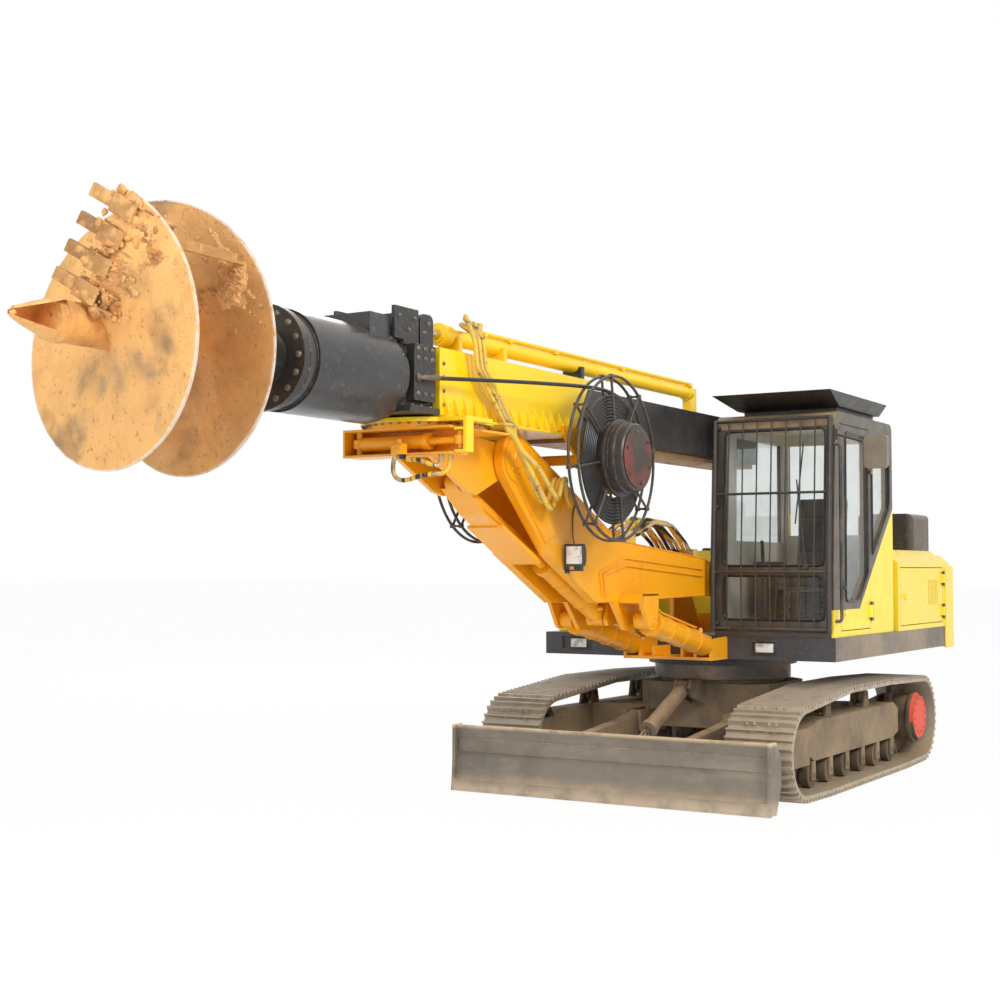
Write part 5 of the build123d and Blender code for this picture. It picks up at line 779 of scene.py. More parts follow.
def teeth():
    """Flat teeth in boxes on the flight's front face, rails behind them, and what is caked on them."""
    piece = Piece()
    crumbs = Piece()
    rng = random.Random(23)
    edge = math.radians(EDGE_ANGLE - TOOTH_TURN)
    out = Vector((0, math.cos(edge), math.sin(edge)))
    round_way = Vector((0, -math.sin(edge), math.cos(edge)))
    lean = (Vector((0.34, 0, 0)) + round_way * 0.94).normalized()
    turn = Matrix((lean, -out, out.cross(lean))).transposed()
    for k in range(4):
        reach = RIM - 0.075 - 0.136 * k
        foot = Vector((EDGE_X - TOOTH_TURN / 360 * PITCH, 0, AXIS_Z)) + out * reach
        for low, high, soft in (
            # corners of a box along the tooth, outwards and across its thickness
            ((0.020, -0.030, 0.006), (0.178, 0.030, 0.036), 0.004),
            ((-0.060, -0.043, 0.040), (0.060, 0.043, 0.052), 0.004),
            ((-0.060, -0.043, -0.030), (0.060, -0.031, 0.050), 0.003),
            ((-0.060, 0.031, -0.030), (0.060, 0.043, 0.050), 0.003),
            ((-0.240, -0.043, -0.004), (-0.050, -0.033, 0.040), 0.003),
            ((-0.240, 0.033, -0.004), (-0.050, 0.043, 0.040), 0.003),
        ):
            low, high = Vector(low), Vector(high)
            if k == 3 and low.x < -0.1:
                low.x = -0.15
            middle = foot + turn @ ((low + high) / 2)
            half = (high - low) / 2
            piece.box(middle - half, middle + half, soft, turn)
        for n in range(46):
            at = foot + lean * rng.uniform(-0.22, 0.085) + out * rng.uniform(-0.062, 0.062)
            at += out.cross(lean) * rng.uniform(-0.004, 0.050)
            crumbs.clump(at, 0.006 + 0.016 * rng.random() ** 2, rng, out.cross(lean), 0.6)
    crumbs.done("tooth_mud", "mud", "drill", 60.0)
    # flat strut between the turns
    strut = Vector((0, 0.495, AXIS_Z + 0.325))
    piece.box(strut + Vector((6.640, -0.008, -0.024)), strut + Vector((7.140, 0.008, 0.024)), 0.003)
    return piece.done("auger_teeth", "tooth_steel", "drill", 40.0)


def pilot():
    """Pointed scoop at the auger's tip: a half cone, open on the left, under a flat top plate."""
    bm = bmesh.new()
    start, end = EDGE_X + 0.10, 7.55
    steps, sides = 16, 24
    layers = [[], []]
    for layer, rows in enumerate(layers):
        for i in range(steps + 1):
            t = i / steps
            radius = 0.092 * (1 - t) ** 0.8 + 0.012 - 0.010 * layer * (1 - 0.5 * t)
            row = []
            for k in range(sides + 1):
                a = math.radians(62.0 + 255.0 * k / sides)
                row.append(bm.verts.new((start + (end - start) * t, radius * math.cos(a),
                                         AXIS_Z + radius * math.sin(a))))
            rows.append(row)
    outer, inner = layers
    bridge(bm, outer, True)
    bridge(bm, inner)
    for k in (0, sides):
        bridge(bm, [[row[k] for row in outer], [row[k] for row in inner]], k == 0)
    for i in (0, steps):
        bridge(bm, [outer[i], inner[i]], i > 0)
    piece = Piece()
    piece.add(bm)
    piece.turned([(0, -0.03), (0.100, -0.03), (0.103, -0.01), (0.103, 0.006), (0, 0.006)], (start, 0, AXIS_Z),
                 (1, 0, 0), 36)
    plate = bmesh.new()
    corners = [(start, -0.055), (start, 0.102), (start + 0.14, 0.085), (end - 0.02, 0.012),
               (end - 0.02, -0.012), (start + 0.16, -0.050)]
    top = [plate.verts.new((x, y, AXIS_Z + 0.098 - 0.075 * (x - start) / (end - start))) for x, y in corners]
    low = [plate.verts.new((v.co.x, v.co.y, v.co.z - 0.012)) for v in top]
    plate.faces.new(top[::-1])
    plate.faces.new(low)
    for k in range(len(top)):
        j = (k + 1) % len(top)
        plate.faces.new((top[k], top[j], low[j], low[k]))
    bmesh.ops.recalc_face_normals(plate, faces=plate.faces[:])
    piece.add(plate)
    piece.turned([(0, 0.0), (0.014, -0.01), (0.016, 0.0), (0.004, 0.018), (0, 0.02)], (end - 0.02, 0, AXIS_Z),
                 (1, 0, 0), 16)
    return piece.done("auger_pilot", "drill_steel", "drill", 40.0)


def mud_cake(piece, turns, reaches, thick, cover, shift):
    """A crumbly sheet of earth caked on the flight between two turns and two reaches."""
    bm = bmesh.new()
    step = 0.0042
    middle = (reaches[0] + reaches[1]) / 2
    wide = int((turns[1] - turns[0]) / 360 * 2 * math.pi * middle / step)
    deep = int((reaches[1] - reaches[0]) / step)
    grid = []
    for i in range(wide + 1):
        turn = turns[0] + (turns[1] - turns[0]) * i / wide
        row = []
        for j in range(deep + 1):
            reach = reaches[0] + (reaches[1] - reaches[0]) * j / deep
            p = on_flight(turn, reach, 0.0) + shift
            lump = 1.5 * noise.fractal(p * 9.0, 0.9, 2.1, 5)
            crumb = abs(noise.fractal(p * 42.0, 0.7, 2.0, 4))
            fade = min(1.0, 5.0 * i / wide, 5.0 * (1 - i / wide), 6.0 * j / deep, 6.0 * (1 - j / deep))
            height = (lump + cover) * fade - (1 - fade) * 0.4
            height = thick * height * (0.55 + 0.9 * crumb) if height > 0 else 0.02 * height
            row.append(bm.verts.new(on_flight(turn, reach, 0.006 + height)))
        grid.append(row)
    bridge(bm, grid)
    piece.add(bm)


def auger_mud():
    """Earth caked round the teeth and their rails, at the stem and on the rear turn, with loose lumps."""
    piece = Piece()
    for turns, reaches, thick, cover, seed in (
        # degrees back from the edge, reach from the axis, thickness, how much of the area, seed
        ((10.0, 47.0), (0.10, 0.625), 0.021, 1.05, 3.0),
        ((369.0, 420.0), (0.16, 0.625), 0.018, 0.50, 11.0),
    ):
        mud_cake(piece, turns, reaches, thick, cover, Vector((seed, seed, 0)))
    rng = random.Random(11)
    for low_turn, high_turn, low_reach, high_reach, count, small, large in (
        # degrees back from the edge, reach from the axis, how many, sizes
        (12, 46, 0.12, 0.60, 90, 0.006, 0.016),
        (0, 70, 0.11, 0.20, 40, 0.006, 0.014),
        (60, 250, 0.15, 0.60, 120, 0.002, 0.006),
        (366, 430, 0.12, 0.60, 50, 0.005, 0.013),
        (430, 560, 0.14, 0.58, 30, 0.003, 0.008),
    ):
        for n in range(count):
            turn = rng.uniform(low_turn, high_turn)
            reach = rng.uniform(low_reach, high_reach)
            size = small + (large - small) * rng.random() ** 2.5
            piece.clump(on_flight(turn, reach, 0.009 + size * 0.15), size, rng)
    return piece.done("auger_mud", "mud", "drill", 60.0)


# Reels

def reel(side, body):
    """Wire guards on a hub, the hub's cover and the coil of hose."""
    hand = HAND[side]
    axis = Vector((0, side, 0))
    inner, outer = 0.462, 0.552
    guards = (inner + 0.010, outer - 0.010)
    piece = Piece()
    piece.turned([
        # radius, distance from the mast's middle
        (0.0, inner), (0.235, inner), (0.235, outer + 0.002), (0.257, outer + 0.002), (0.257, outer + 0.022),
        (0.240, outer + 0.024), (0.223, outer + 0.028), (0.223, outer + 0.054), (0.235, outer + 0.054),
        (0.235, outer + 0.074), (0.223, outer + 0.078), (0.223, 0.682), (0.215, 0.690), (0.060, 0.690),
        (0.055, 0.694), (0.0, 0.694),
    ], REEL, axis, 64)
    for y in guards:
        piece.hoop(REEL + axis * y, axis, 0.540, 0.010, 96, 8)
    for k in range(8):
        a = math.radians(81.0 + 45.0 * k)
        out = Vector((math.cos(a), 0, math.sin(a)))
        ends = [REEL + out * 0.540 + axis * y for y in guards]
        for y, end in zip(guards, ends):
            piece.rod(REEL + out * 0.222 + axis * y, end, 0.009, 10)
        piece.rod(*ends, 0.008, 10)
        for end in ends:
            piece.box(end - Vector((0.014,) * 3), end + Vector((0.014,) * 3), 0.004)
    for k in range(6):
        a = math.radians(60.0 * k + 20.0)
        piece.bolt(REEL + Vector((math.cos(a) * 0.17, side * 0.699, math.sin(a) * 0.17)), axis, 0.022, 0.010)
    cover = Piece()
    cover.turned([(0.0, 0.690), (0.196, 0.690), (0.200, 0.693), (0.200, 0.6965), (0.196, 0.699),
                  (0.0, 0.700)], REEL, axis, 64)
    cover.done(f"reel_cover_{hand}", "hub_face", body)
    piece.done(f"reel_wire_{hand}", "reel_black", body, 35.0, (f"reel_{hand}",))
    hose = Piece()
    turns, steps, first, last = 8, 48, 0.252, 0.428
    points = []
    for k in range(turns * steps + 1):
        a = 2 * math.pi * k / steps
        r = first + (last - first) * k / (turns * steps)
        points.append(REEL + Vector((r * math.cos(a), side * 0.507, r * math.sin(a))))
    hose.tube(points, HOSE, 8)
    hose.done(f"reel_hose_{hand}", "hose_rubber", body, 60.0, (f"hose_pack_{hand}",))


# Bolts

def ring_of_bolts(piece, centre, axis, radius, count, size, tall=0.012, start=0.0):
    axis = Vector(axis).normalized()
    a_dir = axis.orthogonal().normalized()
    b_dir = axis.cross(a_dir)
    for k in range(count):
        a = 2 * math.pi * k / count + start
        piece.bolt(Vector(centre) + (a_dir * math.cos(a) + b_dir * math.sin(a)) * radius, axis, size, tall)


def bolts():
    """Rings of bolts on the drill's flange, the drive and the sprocket caps."""
    piece = Piece()
    ring_of_bolts(piece, (5.860, 0, AXIS_Z), (-1, 0, 0), 0.262, 18, 0.022)
    ring_of_bolts(piece, (5.905, 0, AXIS_Z), (1, 0, 0), 0.235, 16, 0.026)
    piece.done("flange_bolts", "bolt_zinc", "drill")
    piece = Piece()
    ring_of_bolts(piece, (5.010, 0, AXIS_Z), (-1, 0, 0), 0.264, 16, 0.018, 0.010)
    piece.done("drive_bolts", "bolt_zinc", "telescope")
    piece = Piece()
    for side in HAND:
        ring_of_bolts(piece, (SPROCKET_X, side * (TRACK_Y + TRACK_HALF), SPROCKET_Z), (0, side, 0), 0.150, 14,
                      0.020, 0.010)
    piece.done("hub_bolts", "red_paint", "undercarriage")


# Tracks

def shoe_bolts():
    """Eight bolts on each shoe round the ends of both tracks."""
    piece = Piece()
    for side in HAND:
        for x, z, radius in ((-1.44, 0.392, 0.344), (1.44, 0.366, 0.318)):
            # centre and radius of each end of the loop, out to the shoe's plate
            count = round(math.pi * radius / 0.197)
            for k in range(count):
                a = math.radians(-90.0 + 180.0 * (k + 0.5) / count)
                out = Vector((math.cos(a) * (1 if x > 0 else -1), 0, math.sin(a)))
                along = Vector((-out.z, 0, out.x))
                for shift in (-0.030, 0.030):
                    for y in (-0.11, -0.055, 0.055, 0.11):
                        place = Vector((x, side * TRACK_Y + y, z)) + out * (radius + 0.001) + along * shift
                        piece.bolt(place, out, 0.020, 0.012)
    return piece.done("shoe_bolts", "shoe_steel", "undercarriage")


# Mast, boom and cradle trim

def weld(piece, points, radius, rng):
    """A rippled bead through points."""
    dense = []
    for p, q in zip(points, points[1:]):
        p, q = Vector(p), Vector(q)
        n = max(2, int((q - p).length / 0.03))
        dense += [p.lerp(q, k / n) for k in range(n)]
    dense.append(Vector(points[-1]))
    jitter = radius * 0.25
    dense = [d + Vector((rng.uniform(-jitter, jitter), 0, rng.uniform(-jitter, jitter))) for d in dense]
    piece.tube(dense, radius, 6)


def boom_welds():
    piece = Piece()
    rng = random.Random(3)
    top = [(0.44, 1.672), (0.84, 1.765), (2.30, 1.880), (3.60, 2.498)]
    low = [(0.50, 1.452), (0.84, 1.465), (1.95, 1.445), (2.64, 1.440), (3.30, 1.760), (3.80, 2.215)]
    for side in HAND:
        for line, drop in ((top, -0.006), (low, 0.006)):
            weld(piece, [(x, side * BOOM_SIDE, z + drop) for x, z in line], 0.006, rng)
    return piece.done("boom_welds", "boom_yellow", "boom", 60.0)


def mast_bolts():
    piece = Piece()
    ring_of_bolts(piece, (4.400, 0, 2.5165), (0, 0, -1), 0.379, 40, 0.020, 0.012)
    for side in HAND:
        for k in range(11):
            piece.bolt((3.16 + k * 0.135, side * 0.284, 2.559), (0, 0, 1), 0.014, 0.008)
        for z in (2.62, 2.70, 2.78, 2.86):
            piece.bolt((4.60, side * 0.2505, z), (0, side, 0), 0.018, 0.009)
    piece.done("mast_bolts", "bolt_zinc", "mast")
    piece = Piece()
    for side in HAND:
        for x in (4.735, 4.805, 4.875):
            for z in (2.66, 2.76, 2.86, 2.915):
                piece.bolt((x, side * 0.2625, z), (0, side, 0), 0.020, 0.010)
        for x in (4.72, 4.82, 4.90):
            piece.bolt((x, side * 0.240, 2.591), (0, 0, 1), 0.020, 0.010)
        for x, z in ((4.70, 3.08), (4.745, 3.02), (4.84, 3.09), (4.90, 3.02), (4.99, 3.09)):
            piece.bolt((x, side * 0.2145, z), (0, side, 0), 0.018, 0.009)
    piece.done("block_bolts", "bolt_zinc", "telescope")
    piece = Piece()
    x, z = TILT_PIN
    for side in HAND:
        ring_of_bolts(piece, (x, side * 0.2145, z), (0, side, 0), 0.100, 6, 0.020, 0.010, 0.4)
        piece.turned([(0, 0), (0.058, 0), (0.058, 0.006), (0.050, 0.012), (0, 0.012)], (x, side * 0.214, z),
                     (0, side, 0), 40)
    piece.done("pin_caps", "boom_yellow", "boom")


def cylinder_trim():
    """Hose ports, pipes and straps on the lift and tilt cylinders."""
    for name, body, base, eye, length, radius, sides, outward in (
        # piece, body, barrel hinge, rod eye, barrel's length and radius, Y of each, ports on the +Y side
        ("lift_trim", "lift_cylinders", LIFT_FOOT, LIFT_EYE, 1.040, 0.084, (0.3, -0.3), False),
        ("tilt_trim", "tilt_cylinder", TILT_FOOT, TILT_EYE, 0.905, 0.066, (0.0,), True),
    ):
        piece = Piece()
        ahead = Vector((eye[0] - base[0], 0, eye[1] - base[1])).normalized()
        up = Vector((0, 1, 0)) if outward else Vector((-ahead.z, 0, ahead.x))
        for y in sides:
            foot = Vector((base[0], y, base[1]))
            for d in (0.16, length - 0.09):
                port = foot + ahead * d + up * (radius - 0.004)
                piece.rod(port, port + up * 0.030, 0.017, 16)
                piece.rod(port + up * 0.022, port + up * 0.040, 0.013, 6)
            piece.tube([foot + ahead * d + up * (radius + high) for d, high in (
                # distance from the hinge, height over the barrel
                (length - 0.09, 0.034), (length - 0.13, 0.036), (length - 0.17, 0.024),
                (0.30, 0.022), (0.24, 0.026),
            )], 0.009, 10)
            for d in (0.30, 0.55, length - 0.25):
                piece.hoop(foot + ahead * d, ahead, radius + 0.002, 0.004, 48, 6)
        piece.done(name, "boom_yellow", body)


# Cab trim

def outline_tube(piece, corners, radius):
    """A gasket round a window, through (x, y, z) corners."""
    points = []
    n = len(corners)
    for k in range(n):
        p, q, r = (Vector(corners[(k + j) % n]) for j in (-1, 0, 1))
        before, after = (p - q).normalized() * 0.04, (r - q).normalized() * 0.04
        points += [q + before, q + before * 0.3 + after * 0.3, q + after]
    points.append(points[0])
    piece.tube(points, radius, 8)


CAB_FLOOR, CAB_TALL, CAB_SIDE = 1.155, 1.725, 1.237
GASKET = 0.010


def cab_z(share):
    return CAB_FLOOR + share * CAB_TALL


def cab_front(z, stand):
    """X of the cab's front at a height, which leans back above its bend, and a distance before it."""
    bend = cab_z(0.293)
    return 0.770 - 0.070 / (CAB_FLOOR + CAB_TALL - bend) * max(z - bend, 0.0) + stand


def cab_trim():
    """Gaskets of the windows, the wiper and the door's handle."""
    high = cab_z(0.914)
    door = [(0.500, cab_z(0.157)), (0.480, high), (-0.040, high), (-0.040, cab_z(0.281)),
            (0.190, cab_z(0.157))]
    quarter = [(-0.155, high), (-0.605, high), (-0.605, cab_z(0.6)), (-0.155, cab_z(0.362))]
    piece = Piece()
    outline_tube(piece, [(x, CAB_SIDE, z) for x, z in door], GASKET)
    piece.done("door_gasket", "hose_rubber", "cab_door")
    piece = Piece()
    outline_tube(piece, [(x, CAB_SIDE, z) for x, z in quarter], GASKET)
    for low, high in ((0.316, 0.925), (0.075, 0.27)):
        outline_tube(piece, [(cab_front(cab_z(share), 0.001), y, cab_z(share)) for y, share in (
            (0.343, low), (1.161, low), (1.161, high), (0.343, high))], GASKET)
    piece.done("window_gaskets", "hose_rubber", "upperworks")
    piece = Piece()
    foot = Vector((cab_front(1.69, 0.012), 1.02, 1.69))
    tip = Vector((cab_front(2.36, 0.016), 0.94, 2.36))
    piece.rod(foot - Vector((0.02, 0, 0)), foot + Vector((0.014, 0, 0)), 0.022, 16)
    piece.tube([foot, foot.lerp(tip, 0.5) + Vector((0.008, 0, 0)), tip], 0.006, 8)
    low, high = Vector((cab_front(2.02, 0.006), 0.93, 2.02)), Vector((cab_front(2.66, 0.006), 0.99, 2.66))
    piece.tube([low, low.lerp(high, 0.5), high], 0.006, 6)
    piece.done("wiper", "satin_black", "upperworks")
    piece = Piece()
    piece.box((0.505, 1.2355, 1.470), (0.590, 1.2375, 1.600))
    piece.box((0.515, 1.236, 1.520), (0.580, 1.262, 1.548), 0.006)
    piece.rod((0.548, 1.236, 1.580), (0.548, 1.244, 1.580), 0.012, 16)
    piece.done("door_handle", "satin_black", "cab_door")


# Hoses that cross a joint

def smooth_line(points):
    """Points along one smooth spline over a route."""
    curve = bpy.data.curves.new("route", "CURVE")
    curve.dimensions = "3D"
    curve.resolution_u = 8
    spline = curve.splines.new("NURBS")
    spline.points.add(len(points) - 1)
    for target, p in zip(spline.points, points):
        target.co = (*p, 1.0)
    spline.order_u = 3
    spline.use_endpoint_u = True
    holder = bpy.data.objects.new("route", curve)
    bpy.context.scene.collection.objects.link(holder)
    mesh = bpy.data.meshes.new_from_object(holder)
    line = [v.co.copy() for v in mesh.vertices]
    bpy.data.objects.remove(holder)
    bpy.data.curves.remove(curve)
    bpy.data.meshes.remove(mesh)
    return line


def cross_hoses():
    """Taut hoses from the reels to the drive block, and the bundle that loops round the mast's pin."""
    for side, hand in HAND.items():
        piece = Piece()
        piece.tube(smooth_line([(x, side * y, z) for x, y, z in (
            (2.86, 0.507, 2.806), (2.97, 0.507, 2.832), (3.12, 0.505, 2.842), (3.34, 0.490, 2.842),
            (3.90, 0.420, 2.812), (4.45, 0.348, 2.776), (4.78, 0.305, 2.752))]), HOSE, 12)
        o = piece.done(f"taut_hose_{hand}", "hose_rubber", None, 60.0)
        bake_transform(o)
        piece = Piece()
        piece.rod((4.740, side * 0.3125, 2.756), (4.800, side * 0.300, 2.751), 0.019, 6)
        piece.rod((4.800, side * 0.300, 2.751), (4.850, side * 0.296, 2.748), 0.016, 16)
        piece.tube([(x, side * y, z) for x, y, z in (
            (4.840, 0.297, 2.749), (4.862, 0.292, 2.748), (4.872, 0.276, 2.748),
            (4.872, 0.258, 2.748))], 0.015, 12)
        piece.rod((4.872, side * 0.262, 2.748), (4.872, side * 0.272, 2.748), 0.024, 6)
        piece.done(f"hose_end_{hand}", "bolt_zinc", "telescope")
    upper, lower = Piece(), Piece()
    for k, (y, sag) in enumerate(((0.262, 0.0), (0.298, -0.030), (0.334, 0.020))):
        x = 3.944 + 0.046 * k
        joint = (3.840 + 0.014 * k, 0.290 + 0.014 * k, 2.440)
        upper.tube(smooth_line([(x, 0.321, 2.556), (x - 0.02, 0.321, 2.520),
                                (3.88 + 0.02 * k, 0.300 + 0.012 * k, 2.480), joint]), PIN_HOSE, 12)
        lower.tube(smooth_line([
            joint, (3.800 + 0.010 * k, 0.285 + 0.014 * k, 2.400), (3.700, y + 0.02, 2.300 + sag),
            (3.600 - 0.03 * k, y + 0.02, 2.165 + sag), (3.480 - 0.03 * k, y + 0.01, 2.085 + sag * 1.5),
            (3.385, y, 2.130 + sag), (3.340, y, 2.235 + sag * 0.5), (3.260, y - 0.02, 2.262),
            (3.180, 0.245 + 0.012 * k, 2.225), (3.120, 0.236, 2.190 - 0.024 * k),
            (3.070, 0.232, 2.160 - 0.030 * k)]), PIN_HOSE, 12)
    o = upper.done("pin_hoses_upper", "hose_yellow", None, 60.0)
    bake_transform(o)
    o = lower.done("pin_hoses_lower", "hose_yellow", None, 60.0)
    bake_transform(o)
    clamp = Piece()
    clamp.box((3.060, BOOM_SIDE, 2.076), (3.084, 0.256, 2.184), 0.004)
    clamp.box((3.030, BOOM_SIDE, 2.060), (3.110, 0.2085, 2.200), 0.003)
    for z in (2.070, 2.190):
        clamp.bolt((3.070, 0.2085, z), (0, 1, 0), 0.016, 0.008)
    clamp.done("hose_clamp", "boom_yellow", "boom")


def yoke_hoses():
    """Valve block on the yoke's front, with two thick hoses that loop to its underside."""
    low = 2.326
    piece = Piece()
    for route, radius in (
        ([(4.752, 0.020, 2.334), (4.752, -0.014, 2.246), (4.752, 0.050, 2.166), (4.752, 0.236, 2.216),
          (4.660, 0.338, 2.214), (4.660, 0.338, low)], 0.0135),
        ([(4.752, 0.066, 2.334), (4.752, 0.096, 2.296), (4.752, 0.168, 2.302), (4.752, 0.240, 2.274),
          (4.682, 0.290, 2.252), (4.682, 0.290, low)], 0.0135),
    ):
        piece.tube(smooth_line(route), radius, 12)
        for end in (0, -1):
            x, y, z = route[end]
            piece.rod((x, y, z - 0.030), (x, y, z - 0.002), radius + 0.006, 6)
    piece.done("yoke_hoses", "hose_mixed", "cradle", 60.0, ("swing_hoses",))
    block = Piece()
    block.box((4.7305, 0.0, 2.330), (4.774, 0.088, 2.392), 0.004)
    for y in (0.020, 0.066):
        block.rod((4.773, y, 2.372), (4.786, y, 2.372), 0.011, 6)
        block.rod((4.752, y, 2.318), (4.752, y, 2.331), 0.018, 6)
    block.rod((4.752, 0.044, 2.391), (4.752, 0.044, 2.418), 0.014, 16)
    block.box((4.738, 0.028, 2.388), (4.766, 0.060, 2.400), 0.003)
    block.done("yoke_valve", "boom_yellow", "cradle")


# Lamps

WORK_LAMP = Vector((3.020, 0.292, 1.765))


def lamps():
    """Two lamps in the deck's front edge, and a square work lamp on the boom's left side."""
    frames, lenses = Piece(), Piece()
    for y in (-0.935, 0.687):
        frames.box((0.7795, y - 0.105, 1.010), (0.786, y + 0.105, 1.126), 0.002)
        frames.boxes([((0.785, y + low, bottom), (0.797, y + high, top)) for low, high, bottom, top in (
            (-0.082, 0.082, 1.026, 1.034), (-0.082, 0.082, 1.104, 1.112),
            (-0.082, -0.074, 1.026, 1.112), (0.074, 0.082, 1.026, 1.112))], 0.002)
        frames.box((0.785, y - 0.100, 1.116), (0.812, y + 0.100, 1.122), 0.002)
        lenses.box((0.785, y - 0.074, 1.034), (0.793, y + 0.074, 1.104), 0.003)
    frames.box((0.7795, -0.150, 1.010), (0.784, 0.030, 1.130), 0.002)
    frames.done("deck_lamp_frames", "satin_black", "upperworks")
    lenses.done("deck_lamp_lenses", "lamp_glass", "upperworks")
    body, lens = Piece(), Piece()
    body.turned([(0.0, 0.0), (0.060, 0.0), (0.088, 0.050), (0.104, 0.080), (0.104, 0.094), (0.086, 0.096),
                 (0.085, 0.084), (0.0, 0.084)], WORK_LAMP, (1, 0, 0), 4)
    lens.turned([(0.0, 0.084), (0.084, 0.084), (0.082, 0.092), (0.06, 0.096), (0.0, 0.097)],
                WORK_LAMP, (1, 0, 0), 4)
    level = Matrix.Rotation(math.radians(45.0), 4, "X")
    for part in (body, lens):
        part.bm.transform(Matrix.Translation(WORK_LAMP) @ level @ Matrix.Translation(-WORK_LAMP))
    body.box((3.035, 0.262, 1.664), (3.065, 0.322, 1.708), 0.004)
    body.boxes((((3.035, BOOM_SIDE, 1.660), (3.065, 0.322, 1.670)),
                ((3.020, BOOM_SIDE, 1.645), (3.080, 0.2085, 1.720))), 0.003)
    body.tube(smooth_line([(3.021, 0.270, 1.765), (3.000, 0.250, 1.800), (2.985, 0.215, 1.860),
                           (2.975, 0.206, 1.960), (2.965, 0.205, 2.060), (2.930, 0.205, 2.110)]), 0.0042, 8)
    body.done("boom_lamp", "satin_black", "boom")
    lens.done("boom_lamp_lens", "lamp_glass", "boom")


# Lift cylinder ends

def lift_ends():
    """Painted eyes on the lift rods, and the boom's outer lug plates beside them."""
    x, z = LIFT_EYE
    piece = Piece()
    ring = [(0.036, -0.048), (0.061, -0.048), (0.063, -0.044), (0.063, 0.044), (0.061, 0.048), (0.036, 0.048)]
    for side in HAND:
        piece.turned(ring + ring[:1], (x, side * 0.300, z), (0, 1, 0), 48)
    piece.done("lift_eyes", "boom_yellow", "lift_cylinder_rods")
    piece = Piece()
    lug = [(2.020, 1.500), (2.270, 1.500), (2.290, 1.440), (2.180, 1.268), (2.150, 1.247), (2.110, 1.240),
           (2.070, 1.250), (2.042, 1.285), (2.030, 1.330), (2.020, 1.405)]
    lip = [(2.262, 1.499), (2.272, 1.500), (2.300, 1.440), (2.290, 1.432)]
    for side in HAND:
        piece.prism(lug, side * 0.3525, side * 0.3800)
        low, high = sorted((side * BOOM_SIDE, side * 0.380))
        piece.box((2.020, low, 1.484), (2.272, high, 1.500), 0.003)
        piece.prism(lip, low, high)
        piece.turned([(0, 0), (0.046, 0), (0.046, 0.006), (0.040, 0.010), (0, 0.010)], (x, side * 0.380, z),
                     (0, side, 0), 32)
        ring_of_bolts(piece, (x, side * 0.389, z), (0, side, 0), 0.028, 4, 0.014, 0.007)
    piece.done("lift_lugs", "boom_yellow", "boom")


# Engine cover and counterweight

def rear_trim():
    """Lifting eyes, rear louvres in a frame, tail lamps, filler cap and exhaust."""
    piece = Piece()
    for side in HAND:
        y = side * 0.82
        piece.box((-2.520, y - 0.012, 1.835), (-2.400, y + 0.012, 1.862), 0.004)
        piece.hoop((-2.460, y, 1.895), (0, 1, 0), 0.040, 0.013, 40, 10)
    slant = Matrix.Rotation(math.radians(24.0), 3, "Y")
    for k in range(9):
        z = 1.440 + 0.034 * k
        piece.box((-2.650, -0.330, z), (-2.636, 0.330, z + 0.016), 0.003, slant)
    piece.boxes([((-2.650, *low), (-2.637, *high)) for low, high in (
        ((-0.360, 1.415), (0.360, 1.430)), ((-0.360, 1.742), (0.360, 1.757)),
        ((-0.360, 1.415), (-0.345, 1.757)), ((0.345, 1.415), (0.360, 1.757)))], 0.003)
    piece.done("counterweight_trim", "cover_yellow", "upperworks")
    piece, lens = Piece(), Piece()
    for side in HAND:
        y = side * 0.90
        piece.box((-2.652, y - 0.075, 1.250), (-2.637, y + 0.075, 1.330), 0.004)
        lens.box((-2.656, y - 0.062, 1.262), (-2.650, y + 0.062, 1.318), 0.003)
    for profile, x, y in (
        # filler cap, exhaust pipe, its foot
        ([(0, 0), (0.046, 0), (0.046, 0.016), (0.038, 0.030), (0, 0.032)], -1.100, -0.62),
        ([(0.030, 0), (0.034, 0), (0.034, 0.140), (0.030, 0.140), (0.030, 0)], -1.700, -0.78),
        ([(0.0, 0), (0.052, 0), (0.052, 0.010), (0.036, 0.014), (0.0, 0.014)], -1.700, -0.78),
    ):
        piece.turned(profile, (x, y, 1.838), (0, 0, 1), 32)
    piece.done("cover_fittings", "satin_black", "upperworks")
    lens.done("tail_lamps", "tail_red", "upperworks")


# Seat

VOXEL, PRESSURE, STEPS = 0.0075, 4.0, 20
SEAM = 0.018
CROWN = 0.010


def baked(o):
    """The object's mesh as its modifiers leave it, with the modifiers taken off."""
    bpy.context.view_layer.update()
    mesh = bpy.data.meshes.new_from_object(o.evaluated_get(bpy.context.evaluated_depsgraph_get()))
    o.modifiers.clear()
    return mesh


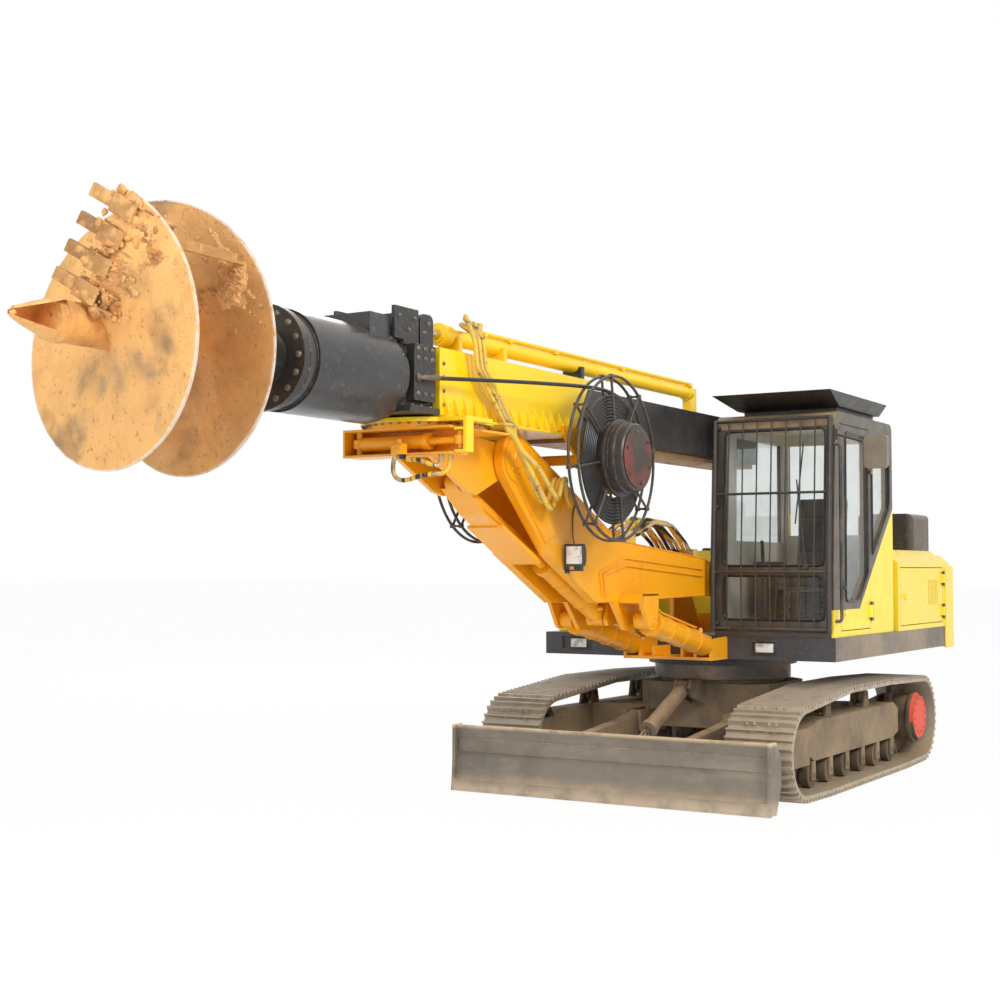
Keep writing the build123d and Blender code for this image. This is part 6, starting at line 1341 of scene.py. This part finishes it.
def puffed(name, size, place, lean, seams, cap):
    """A cushion: a rounded block swollen by cloth pressure, crowned, with seams pressed in on top."""
    bm = bmesh.new()
    bmesh.ops.create_cube(bm, size=1.0)
    bm.transform(Matrix.Diagonal((*(c - 1.6 * cap for c in size), 1.0)))
    bmesh.ops.bevel(bm, geom=bm.edges[:], offset=min(size) * 0.22, segments=4, affect="EDGES", profile=0.6)
    mesh = bpy.data.meshes.new(name)
    bm.to_mesh(mesh)
    bm.free()
    o = bpy.data.objects.new(name, mesh)
    bpy.context.scene.collection.objects.link(o)
    remesh = o.modifiers.new("remesh", "REMESH")
    remesh.mode = "VOXEL"
    remesh.voxel_size = VOXEL
    fine = baked(o)
    o.data = fine
    cloth_step = o.modifiers.new("cloth", "CLOTH")
    cloth_step.settings.use_pressure = True
    cloth_step.settings.uniform_pressure_force = PRESSURE
    cloth_step.settings.effector_weights.gravity = 0.0
    for step in range(1, STEPS + 1):
        bpy.context.scene.frame_set(step)
    swollen = baked(o)
    bpy.context.scene.frame_set(1)
    for v, moved in zip(fine.vertices, swollen.vertices):
        shift = moved.co - v.co
        if shift.length > cap:
            shift = shift.normalized() * cap
        v.co = v.co + shift
    for v in fine.vertices:
        if v.co.z < 0:
            continue
        for axis, line, depth in seams:
            # the axis that a seam crosses, where it crosses it, and its depth
            v.co.z -= depth * max(0.0, 1.0 - abs(v.co[axis] - line) / SEAM) ** 1.5
        along, across = (max(0.0, 1 - (v.co[k] / size[k] * 2) ** 2) for k in (0, 1))
        v.co.z += CROWN * along * across
    finer = o.modifiers.new("finer", "SUBSURF")
    finer.levels = 1
    finer.render_levels = 1
    last = baked(o)
    o.data = last
    last.transform(Matrix.Translation(Vector(place)) @ Matrix.Rotation(math.radians(lean), 4, "Y"))
    last.materials.clear()
    last.materials.append(MAT["seat_cloth"])
    last.shade_smooth()
    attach(o, "upperworks")
    return o


def cab_seat():
    """Seat and back cushions on a pan and a bellows pedestal."""
    cushion = puffed("seat_cushion", (0.50, 0.46, 0.12), (-0.070, 0.752, 1.588), 0.0,
                     ((1, -0.15, 0.010), (1, 0.15, 0.010), (0, 0.10, 0.008)), 0.010)
    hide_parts("seat")
    puffed("seat_back", (0.62, 0.43, 0.12), (-0.350, 0.752, 1.965), 81.3,
           ((1, -0.14, 0.010), (1, 0.14, 0.010), (0, 0.16, 0.008), (0, -0.12, 0.008)), 0.010)
    piece = Piece()
    piece.box((-0.320, 0.530, 1.505), (0.170, 0.974, 1.528), 0.008)
    for k in range(5):
        grow = 0.010 if k % 2 else 0.0
        z = 1.265 + 0.044 * k
        piece.box((-0.235 - grow, 0.612 - grow, z), (0.045 + grow, 0.892 + grow, z + 0.048), 0.014)
    piece.boxes((((-0.250, 0.602, 1.2155), (0.060, 0.902, 1.268)),
                 ((-0.440, 0.600, 1.520), (-0.405, 0.640, 1.800)),
                 ((-0.440, 0.864, 1.520), (-0.405, 0.904, 1.800))), 0.006)
    piece.done("seat_base", "seat_grey", "upperworks")


set_view()
set_stage()
cab_seat()
auger()
teeth()
pilot()
auger_mud()
reel(1, "reel_left")
reel(-1, "reel_right")
bolts()
shoe_bolts()
boom_welds()
mast_bolts()
cylinder_trim()
cab_trim()
cross_hoses()
yoke_hoses()
lamps()
lift_ends()
rear_trim()
